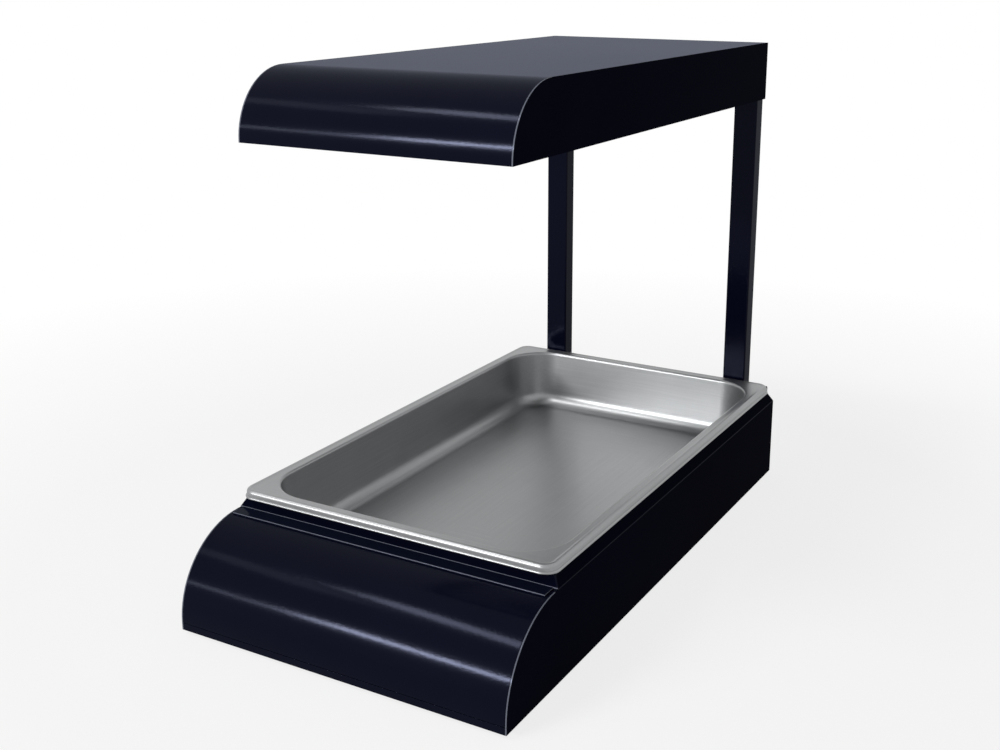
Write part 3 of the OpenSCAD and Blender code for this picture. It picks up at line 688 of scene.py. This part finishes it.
def cut_drive(bm, outward, dome, drive, reach, depth):
    """Domes the heads that face outward and sinks a drive in each."""
    lobes, waist = drive
    rims = once(e for f in end_faces(bm, outward) for e in f.edges)
    bevel(bm, rims, dome, 4)
    for face in end_faces(bm, outward):
        rim = list(face.edges)
        place = at(face.calc_center_median(), outward)
        bmesh.ops.delete(bm, geom=[face], context="FACES_ONLY")
        star = bmesh.ops.create_circle(bm, segments=2 * lobes, radius=reach)["verts"]
        bmesh.ops.scale(bm, vec=(waist,) * 3, verts=star[::2])
        bmesh.ops.transform(bm, matrix=place, verts=star)
        edges = edges_at(star)
        bmesh.ops.bridge_loops(bm, edges=rim + edges)
        grown = bmesh.ops.extrude_edge_only(bm, edges=edges)["geom"]
        sunk = verts_in(grown)
        bmesh.ops.translate(bm, vec=-depth * outward, verts=sunk)
        bmesh.ops.contextual_create(bm, geom=edges_in(grown))
    bmesh.ops.recalc_face_normals(bm, faces=bm.faces)


def both_sides(x):
    """A place left of the middle and its mirror image."""
    return (-x, x)


# Pieces


class WARMER_OT_pan(bpy.types.Operator):
    """Lofts the loose food pan, with its rolled bead, lip, brim and rounded well"""

    bl_idname = "warmer.pan"
    bl_label = "Food pan"

    def execute(self, context):
        sizes = context.scene.warmer_pan
        low, high = span("food_pan")
        depth = high.z - low.z
        steel, lip = sizes.thickness / MM, sizes.lip / MM
        bead, ridge = sizes.bead / MM, sizes.ridge / MM
        brim_edge, mouth_edge = sizes.brim_edge / MM, sizes.mouth_edge / MM
        brim, brim_corner, mouth_corner = 13.0, 14.0, 46.0
        wall_top, taper = 4.0, 5.0
        curve, curve_in, curve_steps = 16.0, 15.0, 8
        ridge_rows, under_ridge = ((2.4, 0.95), (1.6, 0.7), (0.8, 0.2)), 3.0
        shoulder = bead + brim_edge
        lip_end = bead * 2.1 - lip

        def brim_level(inset, down):
            """Inset, height and corner radius of a loop of the brim or lip."""
            return (inset, down, brim_corner - inset)

        def body_level(inset, down):
            """The same of a loop of the body, whose corners are wider."""
            return (inset, down, mouth_corner + brim - inset)

        def quarter(centre, radius, start, steps=6):
            """Points of a quarter turn: from start degrees, anticlockwise."""
            for i in range(steps + 1):
                a = math.radians(start + 90.0 * i / steps)
                yield centre[0] + radius * math.cos(a), centre[1] + radius * math.sin(a)

        def wall(grow):
            """Body wall from its top to the flat of the bottom, moved in by grow."""
            fall = depth - curve - wall_top
            rows = [(brim + grow + taper * t, -wall_top - fall * t) for t in (0.0, 0.33, 0.66)]
            for i in range(curve_steps + 1):
                a = math.radians(90.0 * i / curve_steps)
                turn_in = curve_in * (1 - math.cos(a))
                drop = (curve - grow) * math.sin(a)
                rows.append((brim + grow + taper + turn_in, curve - depth - drop))
            return rows

        # Up the inside, over the mouth and the brim, down the lip and round its bead
        levels = [body_level(i, d) for i, d in reversed(wall(steel))]
        mouth_turn = quarter((brim + steel - mouth_edge, -mouth_edge - ridge), mouth_edge, 0.0)
        levels += [body_level(i, d) for i, d in mouth_turn][1:]
        levels += [brim_level(shoulder + i, -ridge * share) for i, share in ridge_rows]
        levels += [brim_level(i, d) for i, d in quarter((shoulder, -brim_edge), brim_edge, 90.0)]
        levels.append(brim_level(bead, lip_end))
        for degrees in range(120, 391, 30):
            a = math.radians(degrees)
            levels.append(brim_level(bead + bead * math.cos(a), bead - lip + bead * math.sin(a)))
        # Back up behind the lip, under the brim and down the outside
        levels.append(brim_level(bead + steel, lip_end))
        levels.append(brim_level(bead + steel, -brim_edge))
        levels.append(brim_level(shoulder, -steel))
        levels.append(brim_level(shoulder + under_ridge, -steel - ridge))
        levels.append(body_level(brim + steel - mouth_edge, -steel - ridge))
        levels += [body_level(i, d) for i, d in wall(0.0)]

        bm = bmesh.new()
        loops = []
        for inset, down, corner in levels:
            near, far = (low.x + inset, low.y + inset), (high.x - inset, high.y - inset)
            loops.append(rounded_loop(bm, near, far, corner, high.z + down, sizes.corner_steps))
        loft(bm, loops)
        finish_piece(bm, "pan", satin_steel, PAN, ["food_pan"], sharp=50.0)
        return {"FINISHED"}


class WARMER_OT_base(bpy.types.Operator):
    """Bends the base's rounded front and softens its sides, rear, bottom and toe strip"""

    bl_idname = "warmer.base"
    bl_label = "Base"

    def execute(self, context):
        sizes = context.scene.warmer_sheet
        edge = sizes.edge / MM
        low, high = span("base_front")
        axis_y = low.y + high.z - low.z
        bm = bmesh.new()
        outline = Outline(bm, low.y, low.z)
        outline.arc(axis_y, low.z, -90.0, sizes.arc_steps)
        outline.to(high.y, high.z).to(high.y, high.z - PLATE).to(axis_y, high.z - PLATE)
        outline.arc(axis_y, low.z, 90.0, sizes.arc_steps)
        outline.extrude(low.x, high.x)
        soften_edges(bm, edge)
        finish_piece(bm, "front_cover", gloss_paint, replaces=["base_front"])
        for node in ("base_side_left", "base_side_right", "base_rear", "base_bottom"):
            finish_sheet(node, edge)
        return {"FINISHED"}


class WARMER_OT_collar(bpy.types.Operator):
    """Folds the collar that carries the pan, and the hemmed ledge over the rounded front"""

    bl_idname = "warmer.collar"
    bl_label = "Collar and ledge"

    def execute(self, context):
        sizes = context.scene.warmer_sheet
        low, high = span("top_frame")
        lap = 6.1
        front = span("base_front")[1].y - lap
        self.fold_collar(sizes.fold / MM, low, high, front)
        self.fold_ledge(sizes.hem / MM, low, high, front)
        return {"FINISHED"}

    def fold_collar(self, fold, low, high, front):
        """The sloping foot, the upright above it and the seat that carries the pan's rim."""
        rise, inset = 10.5, 5.5
        foot, ridge, seat = low.z, low.z + rise, high.z
        mouth_low, mouth_high, mouth_corner = (-150.5, -227.1), (150.5, 276.9), 47.5
        highlight_from, highlight_to = 0.7, 1.5
        lean = math.atan2(inset, rise)
        slope = (math.sin(lean), math.cos(lean))

        def ring(step, height, corner):
            """A loop round the collar, so far in from its foot."""
            return ((low.x + step, front + step), (high.x - step, high.y - step), corner, height)

        def mouth(grow, height):
            """A loop round the opening for the pan."""
            near = (mouth_low[0] - grow, mouth_low[1] - grow)
            far = (mouth_high[0] + grow, mouth_high[1] + grow)
            return (near, far, mouth_corner + grow, height)

        # Up the outside, in over the seat and down the inside
        rows = [
            ring(0.05, foot, 1.0),
            ring(0.05, foot + highlight_from, 1.0),
            ring(0.15, foot + 1.1, 1.0),
            ring(0.55, foot + highlight_to, 1.0),
            ring(inset - fold * slope[0], ridge - fold * slope[1], 1.2),
            ring(inset - 0.12, ridge, 1.2),
            ring(inset, ridge + fold, 1.2),
            ring(inset, seat - fold, 1.4),
            ring(inset + fold * 0.3, seat - fold * 0.3, 1.6),
            ring(inset + fold, seat, 2.0),
            mouth(0.4, seat),
            mouth(0.0, seat - 0.4),
            mouth(0.0, seat - PLATE),
            ring(inset + fold + PLATE, seat - PLATE, 1.6),
            ring(inset + PLATE, seat - PLATE - fold, 1.4),
            ring(inset + PLATE, ridge, 1.2),
            ring(1.3, foot, 1.0),
        ]
        bm = bmesh.new()
        loops = [rounded_loop(bm, a, b, corner, height, 6) for a, b, corner, height in rows]
        loft(bm, loops, closed=True)
        # Forward-facing faces of the foot band take the lighter edge coat, a painted highlight
        # along the fold; the folds and the seat take the glossier paint
        for face in bm.faces:
            height = face.calc_center_median().z - foot
            if highlight_from < height < highlight_to:
                face.material_index = 2 if face.normal.y < -0.3 else 0
            elif abs(face.normal.z - slope[0]) > 0.03:
                face.material_index = 1
        makers = (side_paint, gloss_paint, edge_paint)
        finish_piece(bm, "collar", makers, replaces=["top_frame"], sharp=50.0)

    def fold_ledge(self, hem, low, high, front):
        """The strip that laps over the rounded front, with its rolled hem."""
        clear, end_in, hem_in, undercut, edge = 0.4, 4.0, 5.0, 0.3, 0.25
        rear, nose = front + clear, low.y + hem / 2
        foot, top = low.z, low.z + PLATE
        bm = bmesh.new()
        outline = Outline(bm, rear, foot)
        outline.to(rear, top).to(nose, top)
        outline.arc(nose, top - hem / 2, 180.0, 8)
        outline.to(low.y + hem_in, top - hem).to(low.y + hem_in + undercut, foot)
        outline.extrude(low.x + end_in, high.x - end_in)
        soften_edges(bm, edge)
        # The rolled hem and the ends take the lighter edge coat: a painted highlight along the hem
        for face in bm.faces:
            rolled = -0.95 < face.normal.y < -0.3 and face.normal.z > 0.0
            end = 0.3 < abs(face.normal.x) < 0.95 and face.normal.z > 0.2
            face.material_index = 1 if rolled or end else 0
        finish_piece(bm, "ledge", (gloss_paint, edge_paint), replaces=["top_frame"])


class WARMER_OT_posts(bpy.types.Operator):
    """Draws the two hollow posts with rounded long edges"""

    bl_idname = "warmer.posts"
    bl_label = "Posts"

    def execute(self, context):
        wall, corner, tightest, lip = 1.6, 1.8, 0.3, 0.3
        for node in ("post_left", "post_right"):
            low, high = span(node)

            def tube(step, height):
                """A loop round the post, so far in from its outside."""
                near, far = (low.x + step, low.y + step), (high.x - step, high.y - step)
                return (near, far, max(tightest, corner - step), height)

            rows = [
                tube(lip, low.z),
                tube(0.0, low.z + lip),
                tube(0.0, high.z - lip),
                tube(lip, high.z),
                tube(wall - lip, high.z),
                tube(wall, high.z - lip),
                tube(wall, low.z + lip),
                tube(wall - lip, low.z),
            ]
            bm = bmesh.new()
            loops = [rounded_loop(bm, a, b, radius, height, 5) for a, b, radius, height in rows]
            loft(bm, loops, closed=True)
            finish_piece(bm, f"{node}_tube", gloss_paint, replaces=[node])
        return {"FINISHED"}


class WARMER_OT_hood(bpy.types.Operator):
    """Bends the hood's cover with its rounded front and softens its other panels"""

    bl_idname = "warmer.hood"
    bl_label = "Hood"

    def execute(self, context):
        sizes = context.scene.warmer_sheet
        edge = sizes.edge / MM
        radius, lip = 60.0, 12.0
        low, high = span("hood_cover")
        axis_y, axis_z = low.y + radius, high.z - radius
        bm = bmesh.new()
        outline = Outline(bm, low.y + lip, low.z)
        outline.to(low.y, low.z).to(low.y, axis_z)
        outline.arc(axis_y, axis_z, -90.0, sizes.arc_steps)
        outline.to(high.y, high.z).to(high.y, high.z - PLATE).to(axis_y, high.z - PLATE)
        outline.arc(axis_y, axis_z, 90.0, sizes.arc_steps)
        outline.to(low.y + PLATE, low.z + PLATE).to(low.y + lip, low.z + PLATE)
        outline.extrude(low.x, high.x)
        soften_edges(bm, edge * 0.8)
        finish_piece(bm, "hood_skin", gloss_paint, replaces=["hood_cover"])
        for node in ("hood_side_left", "hood_side_right", "hood_rear", "hood_floor"):
            finish_sheet(node, edge)
        return {"FINISHED"}


class WARMER_OT_heater(bpy.types.Operator):
    """Finishes the reflector, its pad, the hairpin element and what holds it"""

    bl_idname = "warmer.heater"
    bl_label = "Heater"

    def execute(self, context):
        finish_copy("reflector", polished_reflector, 0.25)
        finish_copy("reflector_insulation", mineral_fibre, 1.5)
        finish_copy("element_bushings", glazed_ceramic, 0.5)
        finish_copy("element_bracket_front", zinc_plate, 0.25)
        finish_copy("element_bracket_rear", zinc_plate, 0.25)
        self.bend_element()
        return {"FINISHED"}

    def bend_element(self):
        """Sweeps the sheath round its bend, then draws out both legs and their terminal pins."""
        low, high = span("heating_element")
        tube, pin, shoulder, pin_length = 4.1, 1.8, 0.6, 12.0
        neck, tip = 0.85, 0.6
        leg = high.x - tube
        height = (low.z + high.z) / 2
        bend_y = low.y + tube + leg
        leg_end = high.y - pin_length
        bm = bmesh.new()
        ring = bmesh.ops.create_circle(bm, segments=24, radius=tube)["verts"]
        upright = Matrix.Rotation(math.pi / 2, 4, "X")
        start = Matrix.Translation((leg, bend_y, height)) @ upright
        bmesh.ops.transform(bm, matrix=start, verts=ring)
        edges = edges_at(ring)
        bent = bmesh.ops.spin(
            bm,
            geom=ring + edges,
            cent=(0.0, bend_y, height),
            axis=(0.0, 0.0, 1.0),
            angle=-math.pi,
            steps=36,
            use_duplicate=False,
        )["geom_last"]
        steps = (
            (leg_end - bend_y - shoulder, 1.0),
            (shoulder, neck),
            (0.0, pin / tube / neck),
            (pin_length - shoulder, 1.0),
            (shoulder, tip),
        )
        for end in (edges, edges_in(bent)):
            for step_y, size in steps:
                grown = bmesh.ops.extrude_edge_only(bm, edges=end)["geom"]
                verts = verts_in(grown)
                end = edges_in(grown)
                bmesh.ops.translate(bm, vec=(0.0, step_y, 0.0), verts=verts)
                centre = sum((v.co for v in verts), Vector()) / len(verts)
                to_centre = Matrix.Translation(-centre)
                bmesh.ops.scale(bm, vec=(size, 1.0, size), verts=verts, space=to_centre)
            bmesh.ops.contextual_create(bm, geom=end)
        bmesh.ops.recalc_face_normals(bm, faces=bm.faces)
        maker, stands_for = oxidised_sheath, ["heating_element"]
        finish_piece(bm, "element", maker, replaces=stands_for, sharp=50.0)


class WARMER_OT_guard(bpy.types.Operator):
    """Makes the wire guard: two long rods and the cross rods welded under them"""

    bl_idname = "warmer.guard"
    bl_label = "Wire guard"

    def execute(self, context):
        low, high = span("wire_guard")
        rod, bar, bars, end_in = 1.6, 1.2, 11, 6.0
        rod_x, rod_z, bar_z = high.x - rod, high.z - rod, low.z + bar
        run = high.y - low.y
        pitch = (run - 2 * end_in) / (bars - 1)
        bm = bmesh.new()

        def wire(place, radius, reach):
            """A straight wire with blunt ends."""
            nose = radius * 0.4
            profile = [(0.0, 0.0), (radius - nose, 0.0), (radius, nose)]
            profile += [(radius, reach - nose), (radius - nose, reach), (0.0, reach)]
            turned(bm, profile, place, 16)

        for x in both_sides(rod_x):
            wire(at((x, low.y, rod_z), BACK), rod, run)
        for i in range(bars):
            y = low.y + end_in + i * pitch
            wire(at((low.x, y, bar_z), RIGHT), bar, high.x - low.x)
        finish_piece(bm, "guard", plated_wire, replaces=["wire_guard"])
        return {"FINISHED"}


class WARMER_OT_fasteners(bpy.types.Operator):
    """Finishes the screws and bolts: cross drives, hexagon sockets and chamfered hexagons"""

    bl_idname = "warmer.fasteners"
    bl_label = "Fasteners"

    def execute(self, context):
        for node, outward, dome, drive, reach, depth in (
            ("base_screws", DOWN, 1.0, CROSS, 2.1, 1.2),
            ("foot_screws", DOWN, 0.8, CROSS, 2.3, 0.9),
            ("hood_screws", DOWN, 0.9, CROSS, 1.9, 1.1),
            ("guard_screws", DOWN, 0.8, CROSS, 2.2, 0.9),
            ("post_hood_bolts", BACK, 1.5, SOCKET, 1.9, 1.7),
        ):
            bm = merged_copy(node)
            cut_drive(bm, outward, dome, drive, reach, depth)
            finish_piece(bm, f"{node}_set", zinc_plate, replaces=[node])
        bm = merged_copy("post_base_bolts")
        soften_edges(bm, 0.4)
        finish_piece(bm, "post_base_bolts_set", zinc_plate, replaces=["post_base_bolts"])
        return {"FINISHED"}


class WARMER_OT_feet(bpy.types.Operator):
    """Moulds the four rubber feet"""

    bl_idname = "warmer.feet"
    bl_label = "Feet"

    def execute(self, context):
        low, high = span("feet")
        bore, recess, radius = 2.3, 5.2, 11.0
        seat, top = 3.2, 5.2
        profile = [(bore, seat), (recess, seat), (recess, 0.5), (5.7, 0.0), (9.2, 0.0), (9.8, 0.3)]
        profile += [(10.1, 0.9), (10.6, 3.6), (10.9, 4.4), (radius, top), (bore, top), (bore, seat)]
        bm = bmesh.new()
        for x in both_sides(high.x - radius):
            for y in (low.y + radius, high.y - radius):
                turned(bm, profile, at((x, y, 0.0)), 40)
        finish_piece(bm, "rubber_feet", foot_rubber, replaces=["feet"])
        return {"FINISHED"}


class WARMER_OT_wiring(bpy.types.Operator):
    """Finishes the well, terminal block, grommets, supply lead and gland"""

    bl_idname = "warmer.wiring"
    bl_label = "Well and wiring"

    def execute(self, context):
        finish_copy("well_liner", zinc_plate, 0.2)
        finish_copy("terminal_block", glazed_ceramic, 0.4)
        screws = merged_copy("terminal_screws")
        cut_drive(screws, UP, 0.7, CROSS, 1.8, 1.0)
        name, stands_for = "terminal_screws_part", ["terminal_screws"]
        finish_piece(screws, name, turned_brass, replaces=stands_for)
        finish_copy("lead_grommets", foot_rubber, 0.4)
        finish_copy("power_lead", lead_sleeve, 0.3)
        finish_copy("cord_gland", grained_plastic, 0.5)
        finish_copy("gland_nut", grained_plastic, 0.4)
        return {"FINISHED"}


class WARMER_OT_switch(bpy.types.Operator):
    """Moulds the switch body and its rocker, with the two printed marks"""

    bl_idname = "warmer.switch"
    bl_label = "Switch"

    def execute(self, context):
        finish_copy("switch_body", grained_plastic, 0.5)
        finish_copy("switch_rocker", grained_plastic, 0.5, ROCKER)
        self.print_marks()
        return {"FINISHED"}

    def print_marks(self):
        """A ring on the rocker's lower half and a bar on its upper half, which leans back."""
        frame_low, frame_high = span("switch_body")
        tilt, pivot_in = math.radians(10.0), 5.0
        pivot = (frame_low + frame_high) / 2
        pivot.y = frame_high.y - pivot_in
        face, mark_off, ink = 6.2, 5.2, 0.12
        ring_in, ring_out, bar_width, bar_height = 1.5, 2.2, 0.8, 4.4
        ring = [(ring_in, 0.0), (ring_out, 0.0), (ring_out, ink), (ring_in, ink), (ring_in, 0.0)]
        brow = Matrix.Rotation(-tilt, 4, "X") @ Vector((0.0, face, 0.0))
        bm = bmesh.new()
        for turn, up in ((0.0, -1.0), (-2 * tilt, 1.0)):
            lean = Matrix.Rotation(turn, 4, "X")
            middle = pivot + brow + lean @ Vector((0.0, 0.0, up * mark_off))
            place = at(middle, lean @ BACK)
            if up < 0:
                turned(bm, ring, place)
            else:
                slab(bm, (bar_width, bar_height, 2 * ink), 0.05, place)
        finish_piece(bm, "switch_marks", printed_mark, ROCKER)


# Stage

MIDDLE = Vector((0.0, 0.0, 0.25))


def view_axes(settings):
    """The camera's right, up and backward directions."""
    azimuth, elevation, roll = settings.azimuth, settings.elevation, settings.roll
    flat = math.cos(elevation)
    back = Vector((math.sin(azimuth) * flat, -math.cos(azimuth) * flat, math.sin(elevation)))
    right = Vector((math.cos(azimuth), math.sin(azimuth), 0.0))
    up = back.cross(right)
    turned_right = math.cos(roll) * right + math.sin(roll) * up
    return turned_right, math.cos(roll) * up - math.sin(roll) * right, back


def aim_camera(settings):
    """Puts the camera at the photograph's view; its steps are from the front edge of the base."""
    across, rise, distance = 0.161955, 0.302628, 1.050515
    front_edge = Vector((0.0, -0.317, 0.004))
    right, up, back = view_axes(settings)
    camera = bpy.data.cameras.new("camera")
    camera.lens = settings.lens
    camera.sensor_width = 36.0
    camera.shift_x = -0.030
    camera.shift_y = -0.065
    holder = bpy.data.objects.new("camera", camera)
    holder.rotation_mode = "QUATERNION"
    holder.rotation_quaternion = Matrix((right, up, back)).transposed().to_quaternion()
    holder.location = front_edge + across * right + rise * up + distance * back
    bpy.context.scene.collection.objects.link(holder)
    bpy.context.scene.camera = holder


# Name, place, (width, height) and radiance of each soft light
STUDIO_LAMPS = (
    ("low_strip", (-2.7, -6.0, 2.0), (2.4, 0.36), 90.0),
    ("low_strip_end", (-4.6, -6.0, 2.0), (1.6, 0.36), 10.0),
    ("high_strip", (-2.3, -2.8, 4.6), (2.0, 0.5), 20.0),
    ("high_strip_end", (-4.0, -2.8, 4.6), (1.4, 0.6), 2.0),
)


def add_lamp(name, place, size, radiance):
    """A soft box aimed at the object's middle."""
    lamp = bpy.data.lights.new(name, "AREA")
    lamp.shape = "RECTANGLE"
    lamp.size, lamp.size_y = size
    lamp.energy = radiance * math.pi * size[0] * size[1]
    holder = bpy.data.objects.new(name, lamp)
    holder.location = place
    holder.rotation_mode = "QUATERNION"
    holder.rotation_quaternion = (Vector(place) - MIDDLE).to_track_quat("Z", "Y")
    bpy.context.scene.collection.objects.link(holder)


def seen_or_mirrored(shader):
    """1 for camera, glossy and transmission rays, 0 for the rays that light the object."""
    camera = shader.add("ShaderNodeLightPath", output="Is Camera Ray")
    seen = camera.maths("MAXIMUM", camera, camera.output("Is Glossy Ray"))
    return seen.maths("MAXIMUM", seen, camera.output("Is Transmission Ray"))


def pale_floor(tone):
    """Floor that is seen nearly white, wholly so far off, and still takes the object's shadow."""
    shader = Shader("pale_floor")
    mottle = shader.noise(shader.place(), 3.0)
    speckle = shader.blend(mottle, shade_of(tone, 0.99), shade_of(tone, 1.01))
    matt = shader.add("ShaderNodeBsdfDiffuse", {}, {"Color": speckle})
    white = shader.add("ShaderNodeEmission", {}, {"Color": WHITE, "Strength": 1.0})
    far = shader.add("ShaderNodeVectorMath", {"operation": "LENGTH"}, {0: shader.place()}, "Value")
    near_share, near, fade = 0.8, 0.5, 0.35
    share = near_share * (1.0 + fade * far.maths("MAXIMUM", far - near, 0.0))
    factor = share.maths("MINIMUM", share, 1.0) * seen_or_mirrored(shader)
    return shader.finish(shader.add("ShaderNodeMixShader", {}, {0: factor, 1: matt, 2: white}))


def studio_world():
    """White surroundings that light the object only faintly."""
    shader = Shader("studio", "worlds")
    lighting = 0.30
    strength = lighting + (1.0 - lighting) * seen_or_mirrored(shader)
    white = shader.add("ShaderNodeBackground", {}, {"Color": WHITE, "Strength": strength})
    return shader.finish(white, "ShaderNodeOutputWorld")


class WARMER_OT_stage(bpy.types.Operator):
    """Lays the pale floor, lights the object softly and aims the camera"""

    bl_idname = "warmer.stage"
    bl_label = "Stage"

    def execute(self, context):
        settings = context.scene.warmer_stage
        reach = 60.0
        bm = bmesh.new()
        bmesh.ops.create_grid(bm, x_segments=1, y_segments=1, size=reach)
        mesh = bpy.data.meshes.new("floor")
        bm.to_mesh(mesh)
        bm.free()
        mesh.materials.append(pale_floor(tuple(settings.floor)))
        floor = bpy.data.objects.new("floor", mesh)
        context.scene.collection.objects.link(floor)
        context.scene.world = studio_world()
        for name, place, size, radiance in STUDIO_LAMPS:
            add_lamp(name, place, size, radiance)
        aim_camera(settings)
        context.scene.view_settings.view_transform = "Standard"
        return {"FINISHED"}


class WARMER_PT_panel(bpy.types.Panel):
    bl_label = "Chip warmer"
    bl_idname = "WARMER_PT_panel"
    bl_space_type = "VIEW_3D"
    bl_region_type = "UI"
    bl_category = "Chip warmer"

    def draw(self, context):
        for operator in OPERATORS:
            self.layout.operator(operator.bl_idname)
        for group in GROUPS:
            settings = getattr(context.scene, group)
            box = self.layout.box()
            for name in settings.bl_rna.properties.keys():
                if name not in ("rna_type", "name"):
                    box.prop(settings, name)


GROUPS = {
    "warmer_sheet": SheetSizes,
    "warmer_pan": PanSizes,
    "warmer_finishes": Finishes,
    "warmer_stage": StageSettings,
}
OPERATORS = (
    WARMER_OT_pan,
    WARMER_OT_base,
    WARMER_OT_collar,
    WARMER_OT_posts,
    WARMER_OT_hood,
    WARMER_OT_heater,
    WARMER_OT_guard,
    WARMER_OT_fasteners,
    WARMER_OT_feet,
    WARMER_OT_wiring,
    WARMER_OT_switch,
    WARMER_OT_stage,
)


def register():
    for name, group in GROUPS.items():
        bpy.utils.register_class(group)
        setattr(bpy.types.Scene, name, PointerProperty(type=group))
    for cls in (*OPERATORS, WARMER_PT_panel):
        bpy.utils.register_class(cls)


def unregister():
    for cls in reversed((*OPERATORS, WARMER_PT_panel)):
        bpy.utils.unregister_class(cls)
    for name, group in reversed(GROUPS.items()):
        delattr(bpy.types.Scene, name)
        bpy.utils.unregister_class(group)


def main():
    """Makes every piece and the stage."""
    register()
    for operator in OPERATORS:
        space, name = operator.bl_idname.split(".")
        getattr(getattr(bpy.ops, space), name)()


if __name__ == "__main__":
    main()
